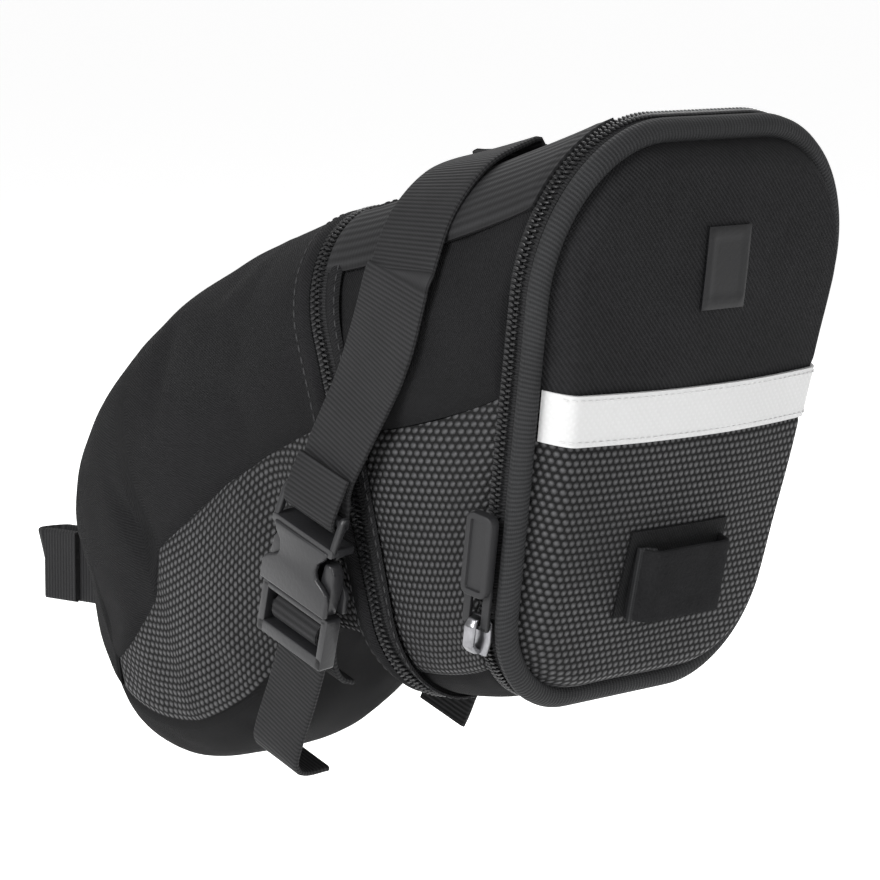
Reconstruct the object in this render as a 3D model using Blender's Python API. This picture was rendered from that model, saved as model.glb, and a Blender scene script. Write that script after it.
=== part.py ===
"""Saddle bag: a wedge of sewn panels with an expanding rear section, a zipped rear lid, two buckled rail
straps and a seatpost loop. Metres, +Z up, +X to the rear of the bicycle, -Y the near side. The origin lies
between the two strap arches on top of the bag."""

import itertools
import math
from collections import namedtuple

import bmesh
import bpy
from mathutils import Matrix, Vector

# A ring is one cross-section of the bag: a rounded trapezium in a plane leaned by tilt degrees about Y.
# seam is the share of its straight side that lies above the seam between plain and textured cloth.
Ring = namedtuple("Ring", "x z tilt half_height top_half bottom_half top_radius bottom_radius seam")

# Rings that drive the shape, from the rear edge of the lid to the nose
REAR_EDGE = Ring(0.0396, -0.0657, 12.0, 0.0742, 0.0604, 0.0452, 0.0380, 0.0290, 0.33)
EXPANSION = Ring(-0.0288, -0.0783, -11.0, 0.0640, 0.0547, 0.0430, 0.0290, 0.0250, 0.345)
SHOULDER_RING = Ring(-0.0632, -0.0847, -16.0, 0.0596, 0.0480, 0.0400, 0.0280, 0.0240, 0.42)
WAIST_RING = Ring(-0.0962, -0.1018, -16.0, 0.0615, 0.0412, 0.0365, 0.0260, 0.0230, 0.38)
CHEEK_RING = Ring(-0.1232, -0.1167, -16.0, 0.0572, 0.0345, 0.0310, 0.0240, 0.0210, 0.36)
MUZZLE_RING = Ring(-0.1428, -0.1259, -16.0, 0.0480, 0.0270, 0.0250, 0.0210, 0.0190, 0.54)
TIP_RING = Ring(-0.1560, -0.1290, -16.0, 0.0332, 0.0190, 0.0180, 0.0160, 0.0150, 0.90)
NOSE_RING = Ring(-0.1638, -0.1239, -16.0, 0.0150, 0.0120, 0.0115, 0.0095, 0.0090, 0.97)

# Cloth and trim
WALL = 0.0020
SEAM_GAP = 0.0003
CLEARANCE = 0.0003
BOARD_THICKNESS = 0.0018

# Rear lid and its zip
LID_DEPTH = 0.0070
LID_FLARE = 0.0018
BINDING_WALL = 0.0025
ZIP_HALF_WIDTH = 0.0025
ZIP_HEIGHT = 0.0026
ZIP_SPLIT = 0.0004
PANEL_GROOVE = 0.0012
PANEL_EDGE = 0.0026
PANEL_CROWN = 0.0060
STRIP_LOW = -0.0024
STRIP_HIGH = 0.0107
STRIP_PROUD = 0.0004
BADGE_CENTRE = 0.0410
BADGE_WIDTH = 0.0170
BADGE_HEIGHT = 0.0210
BADGE_THICKNESS = 0.0012
LIGHT_LOOP_CENTRE = -0.0400
LIGHT_LOOP_LENGTH = 0.0340
LIGHT_LOOP_WIDTH = 0.0190
LIGHT_LOOP_LIFT = 0.0050
LIGHT_LOOP_FLAT = 0.0220

# Webbing and the rail straps
WEB_WIDTH = 0.0228
WEB_THICKNESS = 0.0016
STRAP_X = 0.0
STRAP_SEWN_END = 0.0070
STRAP_SEWN_GAP = 0.0009
STRAP_ARCH = 0.0054
STRAP_STAND_OFF = 0.0024
STRAP_SIDE_Z = -0.0400
STRAP_FOLD = 0.0120
WRAP_RADIUS = 0.0021
RUNNER_THICKNESS = 0.0012
RUNNER_FIRST = 3
RUNNER_LAST = 6

# Buckles: the socket hangs on the strap, and the plug is drawn out of it along the buckle's own line
BUCKLE_TOP = (-0.0325, -0.0910)
BUCKLE_FOOT = (-0.0432, -0.1215)
BUCKLE_STAND_OFF = 0.0052
BUCKLE_THICKNESS = 0.0080
BUCKLE_PLATE = 0.0017
BUCKLE_FRAME = 0.0290
BUCKLE_RAIL = 0.0026
BUCKLE_BAR = 0.0024
SOCKET_SLOT = 0.0052
SOCKET_LENGTH = 0.0245
SOCKET_SPINE = 0.0050
SOCKET_MOUTH = 0.0065
PLUG_LENGTH = 0.0150
PLUG_WINDOW = 0.0092
PLUG_BAR = 0.0022
PLUG_SPLIT = 0.0008
PRONG_LENGTH = 0.0145
PRONG_WIDTH = 0.0036
PRONG_OFFSET = 0.0096
TAIL_LENGTH = 0.0330
ANCHOR_DROP = 0.0070

# Seatpost loop on the nose
NOSE_PATCH_THICKNESS = 0.0020
NOSE_PATCH_HEIGHT = 0.0270
POST_STRAP_WIDTH = 0.0205
POST_LOOP_REACH = 0.0285
POST_LOOP_GAP = 0.0064
POST_FLAP_LENGTH = 0.0130

# Zip sliders and pullers
SLIDER_LENGTH = 0.0105
SLIDER_WIDTH = 0.0085
SLIDER_PLATE = 0.0012
SLIDER_STAND = 0.0022
BAIL_WIDTH = 0.0030
BAIL_SIZE = 0.0016
PULLER_LENGTH = 0.0300
PULLER_WIDTH = 0.0085
PULLER_THICKNESS = 0.0032
PULLER_PIN = 0.0012
PULLER_ARM = 0.0083
MAIN_SLIDER_HEIGHT = -0.0550
EXPANSION_SLIDER_HEIGHT = 0.0260

# The expander
EXPANSION_ZIP_SEAT = 0.0030
GUSSET_DEPTH = 0.0270
GUSSET_WALL = 0.0009
GUSSET_TAPER = 0.0036

# Points along a ring, from the middle of the top, down the near side, to the middle of the bottom
TOP_STEPS = 2
ARC_STEPS = 6
SIDE_STEPS = 2
FOOT_STEPS = 4
BASE_STEPS = 2
SIDE_TOP = TOP_STEPS + ARC_STEPS
SEAM = SIDE_TOP + SIDE_STEPS
SIDE_FOOT = SEAM + SIDE_STEPS
BASE_EDGE = SIDE_FOOT + FOOT_STEPS // 2
FOOT_END = SIDE_FOOT + FOOT_STEPS
HALF = FOOT_END + BASE_STEPS
AROUND = 2 * HALF

NEAR = -1
FAR = 1
SIDES = (("left", NEAR), ("right", FAR))


def clear_scene():
    for obj in list(bpy.data.objects):
        bpy.data.objects.remove(obj, do_unlink=True)


def make_material(name, colour, roughness, metallic=0.0):
    material = bpy.data.materials.new(name)
    material.use_nodes = True
    shader = material.node_tree.nodes["Principled BSDF"]
    shader.inputs["Base Color"].default_value = (*colour, 1.0)
    shader.inputs["Roughness"].default_value = roughness
    shader.inputs["Metallic"].default_value = metallic
    return material


def add_object(name, bm, material, pivot=None):
    """Makes an object of a closed mesh, with its faces outwards and its origin at the pivot."""
    bmesh.ops.recalc_face_normals(bm, faces=bm.faces[:])
    if pivot is not None:
        bmesh.ops.translate(bm, verts=bm.verts[:], vec=-Vector(pivot))
    mesh = bpy.data.meshes.new(name)
    bm.to_mesh(mesh)
    bm.free()
    mesh.materials.append(material)
    mesh.shade_smooth()
    mesh.set_sharp_from_angle(angle=math.radians(40))
    obj = bpy.data.objects.new(name, mesh)
    bpy.context.scene.collection.objects.link(obj)
    if pivot is not None:
        obj.location = pivot
    return obj


def loft(name, loops, material, closed=False, pivot=None):
    """One closed solid through loops of as many points each. A closed loft joins its last loop to its first."""
    bm = bmesh.new()
    rows = [[bm.verts.new(point) for point in loop] for loop in loops]
    count = len(rows[0])
    pairs = list(zip(rows, rows[1:]))
    if closed:
        pairs.append((rows[-1], rows[0]))
    else:
        bm.faces.new(rows[0])
        bm.faces.new(rows[-1])
    for before, after in pairs:
        for i in range(count):
            j = (i + 1) % count
            bm.faces.new((before[i], before[j], after[j], after[i]))
    return add_object(name, bm, material, pivot)


def grown(ring, amount):
    return ring._replace(
        half_height=ring.half_height + amount,
        top_half=ring.top_half + amount,
        bottom_half=ring.bottom_half + amount,
        top_radius=ring.top_radius + amount,
        bottom_radius=ring.bottom_radius + amount,
    )


def ring_normal(ring):
    lean = math.radians(ring.tilt)
    return Vector((math.cos(lean), 0.0, -math.sin(lean)))


def ring_up(ring):
    lean = math.radians(ring.tilt)
    return Vector((math.sin(lean), 0.0, math.cos(lean)))


def shifted(ring, distance):
    """The ring moved along its own normal, to the rear where the distance is positive."""
    normal = ring_normal(ring)
    return ring._replace(x=ring.x + normal.x * distance, z=ring.z + normal.z * distance)


def blended(first, second, share):
    return Ring(*(a + (b - a) * share for a, b in zip(first, second)))


def at(ring, y, z, depth=0.0):
    """The point at y and z in the ring's own plane, moved depth along its normal."""
    centre = Vector((ring.x, 0.0, ring.z))
    return centre + Vector((0.0, y, 0.0)) + ring_up(ring) * z + ring_normal(ring) * depth


def side_lean(ring):
    return math.atan2(ring.top_half - ring.bottom_half, 2 * ring.half_height)


def corner_centres(ring):
    """The centres of the top and bottom corner arcs, as (y, z) on the positive side."""
    lean = side_lean(ring)
    top = ring.top_half - ring.top_radius * math.tan((math.pi / 2 + lean) / 2)
    bottom = ring.bottom_half - ring.bottom_radius * math.tan((math.pi / 2 - lean) / 2)
    return (top, ring.half_height - ring.top_radius), (bottom, ring.bottom_radius - ring.half_height)


def steps(first, last, count):
    """Points after first, up to and with last."""
    return [first + (last - first) * (i + 1) / count for i in range(count)]


def half_outline(ring):
    """(y, z) from the middle of the top to the middle of the bottom, on the positive side."""
    lean = side_lean(ring)
    (top_y, top_z), (foot_y, foot_z) = corner_centres(ring)

    def on_arc(y, z, radius, angle):
        return Vector((y + radius * math.cos(angle), z + radius * math.sin(angle)))

    points = [Vector((0.0, ring.half_height))]
    points += steps(points[0], Vector((top_y, ring.half_height)), TOP_STEPS)
    points += [on_arc(top_y, top_z, ring.top_radius, a) for a in steps(math.pi / 2, -lean, ARC_STEPS)]
    side_foot = on_arc(foot_y, foot_z, ring.bottom_radius, -lean)
    seam = points[-1].lerp(side_foot, ring.seam)
    points += steps(points[-1], seam, SIDE_STEPS)
    points += steps(seam, side_foot, SIDE_STEPS)
    points += [on_arc(foot_y, foot_z, ring.bottom_radius, a) for a in steps(-lean, -math.pi / 2, FOOT_STEPS)]
    points += steps(points[-1], Vector((0.0, -ring.half_height)), BASE_STEPS)
    return points


def ring_points(ring, first, last):
    """World points of the ring from one index to another. Index 0 is the middle of the top."""
    half = half_outline(ring)
    points = []
    for index in range(first, last + 1):
        place = index % AROUND
        y, z = half[place] if place <= HALF else half[AROUND - place]
        points.append(at(ring, -y if place <= HALF else y, z))
    return points


def trimmed(points, gap):
    """The points with both ends drawn in by a gap."""
    points = list(points)
    points[0] = points[0] + (points[1] - points[0]).normalized() * gap
    points[-1] = points[-1] + (points[-2] - points[-1]).normalized() * gap
    return points


def mirrored(loops, side):
    """Loops made for the near side, moved across to the other side where asked."""
    return [[Vector((p.x, p.y if side == NEAR else -p.y, p.z)) for p in loop] for loop in loops]


def panel(name, rings, first, last, material, outer=0.0, inner=-WALL, side=NEAR):
    """A sewn panel: the skin between two indices on each ring, from its inner face to its outer face."""
    loops = []
    for ring in rings:
        outside = trimmed(ring_points(grown(ring, outer), first, last), SEAM_GAP / 2)
        inside = trimmed(ring_points(grown(ring, inner), first, last), SEAM_GAP / 2)
        loops.append(outside + inside[::-1])
    return loft(name, mirrored(loops, side), material)


def band(name, rear, front, height, material, inner):
    """A closed band that runs round the bag between two rings."""
    outside = [ring_points(grown(ring, inner + height), 0, AROUND - 1) for ring in (rear, front)]
    inside = [ring_points(grown(ring, inner), 0, AROUND - 1) for ring in (front, rear)]
    return loft(name, list(zip(*outside, *inside)), material, closed=True)


def level_half_width(ring, z):
    """Half the ring's width at one height in its plane."""
    (top_y, top_z), (foot_y, foot_z) = corner_centres(ring)
    lean = side_lean(ring)
    if z > top_z - ring.top_radius * math.sin(lean):
        return top_y + math.sqrt(max(ring.top_radius**2 - (z - top_z) ** 2, 0.0))
    if z < foot_z - ring.bottom_radius * math.sin(lean):
        return foot_y + math.sqrt(max(ring.bottom_radius**2 - (z - foot_z) ** 2, 0.0))
    middle = (ring.top_half + ring.bottom_half) / 2
    return middle + z * math.tan(lean)


def mouth_ring(depth):
    """The ring at a depth in front of the lid's rear edge, flared as the lid's side is."""
    return grown(shifted(REAR_EDGE, -depth), LID_FLARE * min(depth / LID_DEPTH, 1.0))


# Depths in front of the lid's rear edge, from the lid's binding through both halves of the zip
LID_ZIP_START = LID_DEPTH + SEAM_GAP
LID_ZIP_END = LID_ZIP_START + ZIP_HALF_WIDTH
BODY_ZIP_START = LID_ZIP_END + ZIP_SPLIT
BODY_ZIP_END = BODY_ZIP_START + ZIP_HALF_WIDTH
REAR_SECTION_START = BODY_ZIP_END + SEAM_GAP

BODY_RINGS = (
    mouth_ring(REAR_SECTION_START),
    EXPANSION,
    SHOULDER_RING,
    WAIST_RING,
    CHEEK_RING,
    MUZZLE_RING,
    TIP_RING,
    NOSE_RING,
)


def skin_half_width(x, z):
    """Half the width of the bag where its skin passes the line through x and z along Y."""
    low, high = 0.0, len(BODY_RINGS) - 1.0
    for _ in range(50):
        middle = (low + high) / 2
        whole = min(int(middle), len(BODY_RINGS) - 2)
        ring = blended(BODY_RINGS[whole], BODY_RINGS[whole + 1], middle - whole)
        offset = Vector((x - ring.x, 0.0, z - ring.z))
        if offset.dot(ring_normal(ring)) < 0:
            low = middle
        else:
            high = middle
    return level_half_width(ring, offset.dot(ring_up(ring)))


def crown_depth(y, z):
    """How far the padded rear panel swells past its edge."""
    across = 1 - (y / REAR_EDGE.top_half) ** 2
    upright = 1 - (z / REAR_EDGE.half_height) ** 2
    return SEAM_GAP + PANEL_EDGE + PANEL_CROWN * across * upright


LID_COLUMNS = 10


def lid_slice(name, low, high, levels, material, proud=0.0):
    """One piece of the rear panel between two heights: flat inside and crowned outside."""
    outline = grown(REAR_EDGE, -PANEL_GROOVE)
    loops = []
    for step in range(levels + 1):
        z = low + (high - low) * (1 - math.cos(math.pi * step / levels)) / 2
        half = level_half_width(outline, z)
        across = [half * (2 * i / LID_COLUMNS - 1) for i in range(LID_COLUMNS + 1)]
        outside = [at(REAR_EDGE, y, z, crown_depth(y, z) + proud) for y in across]
        inside = [at(REAR_EDGE, y, z, SEAM_GAP) for y in across]
        loops.append(outside + inside[::-1])
    return loft(name, loops, material)


def build_lid(materials):
    edge = REAR_EDGE.half_height - PANEL_GROOVE
    front = mouth_ring(LID_DEPTH)
    band("lid_binding", REAR_EDGE, front, BINDING_WALL, materials["binding"], inner=-BINDING_WALL)
    lid_slice("lid_lower_panel", -edge, STRIP_LOW - SEAM_GAP / 2, 8, materials["textured"])
    strip = (STRIP_LOW + SEAM_GAP / 2, STRIP_HIGH - SEAM_GAP / 2)
    lid_slice("reflective_strip", *strip, 2, materials["reflector"], STRIP_PROUD)
    lid_slice("lid_upper_panel", STRIP_HIGH + SEAM_GAP / 2, edge, 8, materials["cloth"])
    board = grown(REAR_EDGE, -BINDING_WALL - CLEARANCE)
    outlines = [
        ring_points(shifted(board, -depth), 0, AROUND - 1)
        for depth in (CLEARANCE, CLEARANCE + BOARD_THICKNESS)
    ]
    loft("lid_board", outlines, materials["board"])
    build_badge(materials["rubber"])
    build_light_loop(materials["webbing"])
    zip_band("main_zip_lid", LID_ZIP_START, LID_ZIP_END, materials["coil"])


def zip_band(name, start, end, material):
    """Half of the main zip: it runs up one side, over the top and down the other."""
    rings = (mouth_ring(start), mouth_ring(end))
    panel(name, rings, -FOOT_END, FOOT_END, material, outer=ZIP_HEIGHT - WALL)


def build_badge(material):
    loops = []
    for z in steps(BADGE_CENTRE - BADGE_HEIGHT, BADGE_CENTRE + BADGE_HEIGHT / 2, 3):
        across = [BADGE_WIDTH * (i / 2 - 0.5) for i in range(3)]
        under = [at(REAR_EDGE, y, z, crown_depth(y, z) + CLEARANCE) for y in across]
        over = [at(REAR_EDGE, y, z, crown_depth(y, z) + CLEARANCE + BADGE_THICKNESS) for y in across]
        loops.append(over + under[::-1])
    loft("badge_patch", loops, material)


def build_light_loop(material):
    """A web sewn down at both ends, which stands off the panel between them for a light's clip."""
    low = LIGHT_LOOP_CENTRE - LIGHT_LOOP_WIDTH / 2
    high = LIGHT_LOOP_CENTRE + LIGHT_LOOP_WIDTH / 2
    half, flat = LIGHT_LOOP_LENGTH / 2, LIGHT_LOOP_FLAT / 2
    sewn = half - (half - flat) / 3

    def seat(y):
        return max(crown_depth(y, low), crown_depth(y, high)) + CLEARANCE

    raised = seat(0.0) + LIGHT_LOOP_LIFT
    places = [(-half, seat(half)), (-sewn, seat(sewn)), (-flat, raised)]
    places += [(-y, face) for y, face in places[::-1]]
    loops = []
    for y, face in places:
        corners = ((low, face), (high, face), (high, face + WEB_THICKNESS), (low, face + WEB_THICKNESS))
        loops.append([at(REAR_EDGE, y, z, depth) for z, depth in corners])
    loft("light_loop", loops, material)


def build_rear_section(materials):
    mouth = mouth_ring(REAR_SECTION_START)
    seat = shifted(EXPANSION, EXPANSION_ZIP_SEAT)
    rings = [mouth, blended(mouth, seat, 0.33), blended(mouth, seat, 0.67), seat]
    panel("rear_upper", rings, -SEAM, SEAM, materials["cloth"])
    panel("rear_side_left", rings, SEAM, BASE_EDGE, materials["textured"])
    panel("rear_side_right", rings, SEAM, BASE_EDGE, materials["textured"], side=FAR)
    panel("rear_base", rings, BASE_EDGE, AROUND - BASE_EDGE, materials["base_cloth"])
    runner = {"outer": CLEARANCE + RUNNER_THICKNESS, "inner": CLEARANCE}
    for word, side in SIDES:
        name = "strap_runner_" + word
        panel(name, rings, RUNNER_FIRST, RUNNER_LAST, materials["webbing"], side=side, **runner)
    tape = (mouth_ring(LID_ZIP_START), mouth_ring(BODY_ZIP_END))
    panel("lid_hinge_tape", tape, FOOT_END, AROUND - FOOT_END, materials["binding"])
    zip_band("main_zip_body", BODY_ZIP_START, BODY_ZIP_END, materials["coil"])


def expansion_band(name, start, end, material):
    rings = (shifted(EXPANSION, end), shifted(EXPANSION, start))
    band(name, *rings, ZIP_HEIGHT, material, inner=-WALL)


def build_expander(materials):
    near_split = ZIP_SPLIT / 2
    far_split = near_split + ZIP_HALF_WIDTH
    expansion_band("expansion_zip_rear", near_split, far_split, materials["coil"])
    expansion_band("expansion_zip_front", -far_split, -near_split, materials["coil"])
    inside = grown(shifted(EXPANSION, GUSSET_DEPTH), -GUSSET_TAPER)
    rings = (inside, shifted(EXPANSION, -EXPANSION_ZIP_SEAT))
    inner = -WALL - CLEARANCE - GUSSET_WALL
    band("expansion_gusset", *rings, GUSSET_WALL, materials["lining"], inner=inner)


def build_front(materials):
    rings = [shifted(EXPANSION, -EXPANSION_ZIP_SEAT), *BODY_RINGS[2:]]
    panel("front_upper", rings, -SEAM, SEAM, materials["cloth"])
    panel("front_side_left", rings, SEAM, BASE_EDGE, materials["textured"])
    panel("front_side_right", rings, SEAM, BASE_EDGE, materials["textured"], side=FAR)
    panel("front_base", rings, BASE_EDGE, AROUND - BASE_EDGE, materials["base_cloth"])
    board = {"outer": -WALL - CLEARANCE, "inner": -WALL - CLEARANCE - BOARD_THICKNESS}
    panel("base_board", BODY_RINGS[2:5], FOOT_END, AROUND - FOOT_END, materials["board"], **board)


def build_seatpost_loop(materials):
    """The patch that closes the nose, the loop sewn to it and the loop's closing flap."""
    seat = shifted(NOSE_RING, -CLEARANCE)
    patch = seat._replace(half_height=NOSE_PATCH_HEIGHT / 2)
    outlines = [ring_points(shifted(patch, -depth), 0, AROUND - 1) for depth in (0.0, NOSE_PATCH_THICKNESS)]
    loft("nose_patch", outlines, materials["base_cloth"])
    face = shifted(patch, -NOSE_PATCH_THICKNESS - CLEARANCE)

    def ahead(y, z, depth):
        return at(face, y, z) + Vector((depth, 0.0, 0.0))

    inside = POST_LOOP_GAP / 2
    outside = inside + WEB_THICKNESS
    bend = 8

    def round_end(radius):
        reach = -POST_LOOP_REACH + outside
        turns = [math.pi * i / bend for i in range(bend + 1)]
        return [(reach - radius * math.sin(turn), -radius * math.cos(turn)) for turn in turns]

    around = [(0.0, -outside), *round_end(outside), (0.0, outside)]
    around += [(0.0, inside), *round_end(inside)[::-1], (0.0, -inside)]
    half = POST_STRAP_WIDTH / 2
    loops = [[ahead(y, z, depth) for depth, y in around] for z in (-half, half)]
    loft("seatpost_loop", loops, materials["webbing"])
    hinge_depth = -POST_LOOP_REACH + outside
    near = -outside - CLEARANCE
    corners = (
        (hinge_depth, near),
        (hinge_depth + POST_FLAP_LENGTH, near),
        (hinge_depth + POST_FLAP_LENGTH, near - WEB_THICKNESS),
        (hinge_depth, near - WEB_THICKNESS),
    )
    loops = [[ahead(y, z, depth) for depth, y in corners] for z in (-half, half)]
    pivot = ahead(near - WEB_THICKNESS, 0.0, hinge_depth)
    loft("seatpost_flap", loops, materials["hook_tape"], pivot=pivot)


def smooth_path(points, pieces):
    """Points along a smooth curve through the given points."""
    ends = [points[0] * 2 - points[1], *points, points[-1] * 2 - points[-2]]
    path = [points[0]]
    for a, b, c, d in zip(ends, ends[1:], ends[2:], ends[3:]):
        for i in range(1, pieces + 1):
            t = i / pieces
            curve = b * 2 + (c - a) * t + (a * 2 - b * 5 + c * 4 - d) * t**2
            path.append((curve + (b * 3 - a - c * 3 + d) * t**3) / 2)
    return path


def ribbon_loops(path, across, width, thickness):
    """Cross-sections of webbing along a path on its inner face. across gives its width direction by place."""
    loops = []
    for i, point in enumerate(path):
        tangent = (path[min(i + 1, len(path) - 1)] - path[max(i - 1, 0)]).normalized()
        sideways = across(i / (len(path) - 1))
        sideways = (sideways - tangent * sideways.dot(tangent)).normalized()
        outward = sideways.cross(tangent).normalized() * thickness
        edge = sideways * (width / 2)
        loops.append([point - edge, point + edge, point + edge + outward, point - edge + outward])
    return loops


def buckle_axes():
    """The near buckle's place and axes: origin on its top edge's mid-plane, then across, outward and down."""
    top_x, top_z = BUCKLE_TOP
    foot_x, foot_z = BUCKLE_FOOT
    stand = BUCKLE_STAND_OFF + BUCKLE_THICKNESS / 2
    top = Vector((top_x, -skin_half_width(top_x, top_z) - stand, top_z))
    foot = Vector((foot_x, -skin_half_width(foot_x, foot_z) - stand, foot_z))
    down = (foot - top).normalized()
    ahead = skin_half_width(top_x - WEB_WIDTH, top_z) - skin_half_width(top_x, top_z)
    slope = Vector((-WEB_WIDTH, -ahead, 0.0)).normalized()
    across = (slope - down * slope.dot(down)).normalized()
    outward = across.cross(down).normalized()
    if outward.y > 0:
        outward = -outward
    return top, across, outward, down


def top_height(x):
    """Height of the top of the rear section's skin above x, midway across."""
    mouth = mouth_ring(REAR_SECTION_START)
    low, high = 0.0, 1.0
    for _ in range(40):
        share = (low + high) / 2
        ring = blended(mouth, EXPANSION, share)
        crest = at(ring, 0.0, ring.half_height)
        if crest.x > x:
            low = share
        else:
            high = share
    return crest.z


def strap_path():
    """The near strap's inner face, from its sewn end on top, over its arch, down the side to the socket."""
    crown = top_height(STRAP_X)
    mouth = mouth_ring(REAR_SECTION_START)
    ring = blended(mouth, EXPANSION, 0.5)
    (shoulder, _), _ = corner_centres(ring)
    drop = ring.top_radius
    points = [
        Vector((STRAP_X, -STRAP_SEWN_END, crown + STRAP_SEWN_GAP)),
        Vector((STRAP_X, -STRAP_SEWN_END - 0.006, crown + STRAP_ARCH / 4)),
        Vector((STRAP_X, -shoulder, crown + STRAP_ARCH)),
        Vector((STRAP_X, -shoulder - drop * 0.42, crown + STRAP_ARCH * 0.55)),
        Vector((STRAP_X, -shoulder - drop * 0.84, crown - drop * 0.26)),
    ]
    top, _, outward, down = buckle_axes()
    for x, z in ((STRAP_X - 0.0030, -0.0310), (STRAP_X - 0.0085, -0.0450), (STRAP_X - 0.0168, -0.0590)):
        points.append(Vector((x, -skin_half_width(x, z) - STRAP_STAND_OFF, z)))
    bar = top - down * (BUCKLE_RAIL / 2)
    wrap = WRAP_RADIUS + WEB_THICKNESS
    points.append(bar - down * 0.0110 - outward * wrap)
    points.append(bar - down * 0.0030 - outward * wrap)
    for turn in (0.0, 0.25, 0.5, 0.75, 1.0):
        angle = math.pi * turn
        points.append(bar - outward * (wrap * math.cos(angle)) + down * (wrap * math.sin(angle)))
    points.append(bar - down * 0.0030 + outward * (wrap * 0.85))
    points.append(bar - down * STRAP_FOLD + outward * (2 * CLEARANCE + WEB_THICKNESS - WRAP_RADIUS))
    return smooth_path(points, 4)


def build_straps(materials):
    _, buckle_across, _, _ = buckle_axes()
    reach = WEB_WIDTH / 2
    rise = top_height(STRAP_X - reach) - top_height(STRAP_X + reach)
    flare = skin_half_width(STRAP_X, STRAP_SIDE_Z) - skin_half_width(STRAP_X - WEB_WIDTH, STRAP_SIDE_Z)
    on_top = Vector((-WEB_WIDTH, 0.0, rise))
    on_side = Vector((-WEB_WIDTH, flare, 0.0))

    def width_direction(share):
        if share < 0.3:
            return on_top.lerp(on_side, max(share - 0.12, 0.0) / 0.18)
        return on_side.lerp(buckle_across * WEB_WIDTH, min((share - 0.3) / 0.2, 1.0))

    path = strap_path()
    loops = ribbon_loops(path, width_direction, WEB_WIDTH, WEB_THICKNESS)
    for word, side in SIDES:
        loft("rail_strap_" + word, mirrored(loops, side), materials["webbing"])
        build_buckle(word, side, materials)


def union_of(name, boxes, matrix, material, pivot=None):
    """One solid from overlapping boxes in a placed frame: the faces between filled and empty cells of their grid."""
    grid = [sorted({round(corner[axis], 7) for pair in boxes for corner in pair}) for axis in range(3)]

    def filled(cell):
        if not all(0 <= place < len(line) - 1 for place, line in zip(cell, grid)):
            return False
        middle = [(line[place] + line[place + 1]) / 2 for place, line in zip(cell, grid)]
        return any(all(a < m < b for a, m, b in zip(low, middle, high)) for low, high in boxes)

    bm = bmesh.new()
    corners = {}

    def corner(place):
        if place not in corners:
            local = Vector([line[i] for line, i in zip(grid, place)])
            corners[place] = bm.verts.new(matrix @ local)
        return corners[place]

    for cell in itertools.product(*(range(len(line) - 1) for line in grid)):
        for axis, step in itertools.product(range(3), (0, 1)):
            beyond = list(cell)
            beyond[axis] += 2 * step - 1
            if not filled(cell) or filled(beyond):
                continue
            face = []
            for first, second in ((0, 0), (1, 0), (1, 1), (0, 1)):
                place = list(cell)
                place[axis] += step
                place[(axis + 1) % 3] += first
                place[(axis + 2) % 3] += second
                face.append(corner(tuple(place)))
            bm.faces.new(face)
    bmesh.ops.recalc_face_normals(bm, faces=bm.faces[:])
    bmesh.ops.dissolve_limit(bm, angle_limit=math.radians(1), verts=bm.verts[:], edges=bm.edges[:])
    return add_object(name, bm, material, pivot)


def build_buckle(word, side, materials):
    """Socket on the strap, plug with its two springy prongs, and the web that the plug is threaded on."""
    top, across, outward, down = (Vector(v) for v in buckle_axes())
    if side == FAR:
        top, across, outward, down = (Vector((v.x, -v.y, v.z)) for v in (top, across, outward, down))
    frame = Matrix((across, outward, down)).transposed().to_4x4()
    matrix = Matrix.Translation(top) @ frame
    half, deep = BUCKLE_FRAME / 2, BUCKLE_THICKNESS / 2
    slot_end = SOCKET_SLOT + BUCKLE_RAIL
    mouth = SOCKET_LENGTH
    plate = deep - BUCKLE_PLATE
    waist = half * 0.62
    socket = [
        ((-half, -BUCKLE_BAR / 2, -BUCKLE_RAIL), (half, BUCKLE_BAR / 2, 0.0)),
        ((-half, -plate, -BUCKLE_RAIL), (-half + BUCKLE_RAIL, plate, slot_end)),
        ((half - BUCKLE_RAIL, -plate, -BUCKLE_RAIL), (half, plate, slot_end)),
        ((-half, -deep, SOCKET_SLOT), (half, deep, slot_end)),
        ((-waist, plate, SOCKET_SLOT), (waist, deep, mouth)),
        ((-waist, -deep, SOCKET_SLOT), (waist, -plate, mouth)),
        ((-half, plate, mouth - SOCKET_MOUTH), (half, deep, mouth)),
        ((-half, -deep, mouth - SOCKET_MOUTH), (half, -plate, mouth)),
        ((-SOCKET_SPINE / 2, -deep, SOCKET_SLOT), (SOCKET_SPINE / 2, deep, mouth)),
    ]
    union_of("buckle_socket_" + word, socket, matrix, materials["moulding"])
    start = mouth + PLUG_SPLIT
    window = start + BUCKLE_RAIL
    window_end = window + PLUG_WINDOW
    end = start + PLUG_LENGTH
    bar = window + (PLUG_WINDOW - PLUG_BAR) / 2
    plug = [
        ((-half, -plate, start), (half, plate, window)),
        ((-half, -plate, start), (-half + BUCKLE_RAIL, plate, end)),
        ((half - BUCKLE_RAIL, -plate, start), (half, plate, end)),
        ((-half, -plate, window_end), (half, plate, end)),
        ((-half, -plate / 2, bar), (half, plate / 2, bar + PLUG_BAR)),
    ]
    union_of("buckle_plug_" + word, plug, matrix, materials["moulding"])
    thin = plate - CLEARANCE
    for place, sign in (("front", 1), ("rear", -1)):
        inner, outer = sorted((sign * (PRONG_OFFSET - PRONG_WIDTH / 2), sign * (PRONG_OFFSET + PRONG_WIDTH / 2)))
        root = start - CLEARANCE
        pivot = matrix @ Vector((sign * PRONG_OFFSET, 0.0, root))
        corners = ((inner, -thin, root - PRONG_LENGTH), (outer, thin, root))
        union_of(f"buckle_prong_{word}_{place}", [corners], matrix, materials["moulding"], pivot)
    build_adjuster(word, matrix, (window, bar, window_end, end, plate), materials["webbing"])


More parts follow.
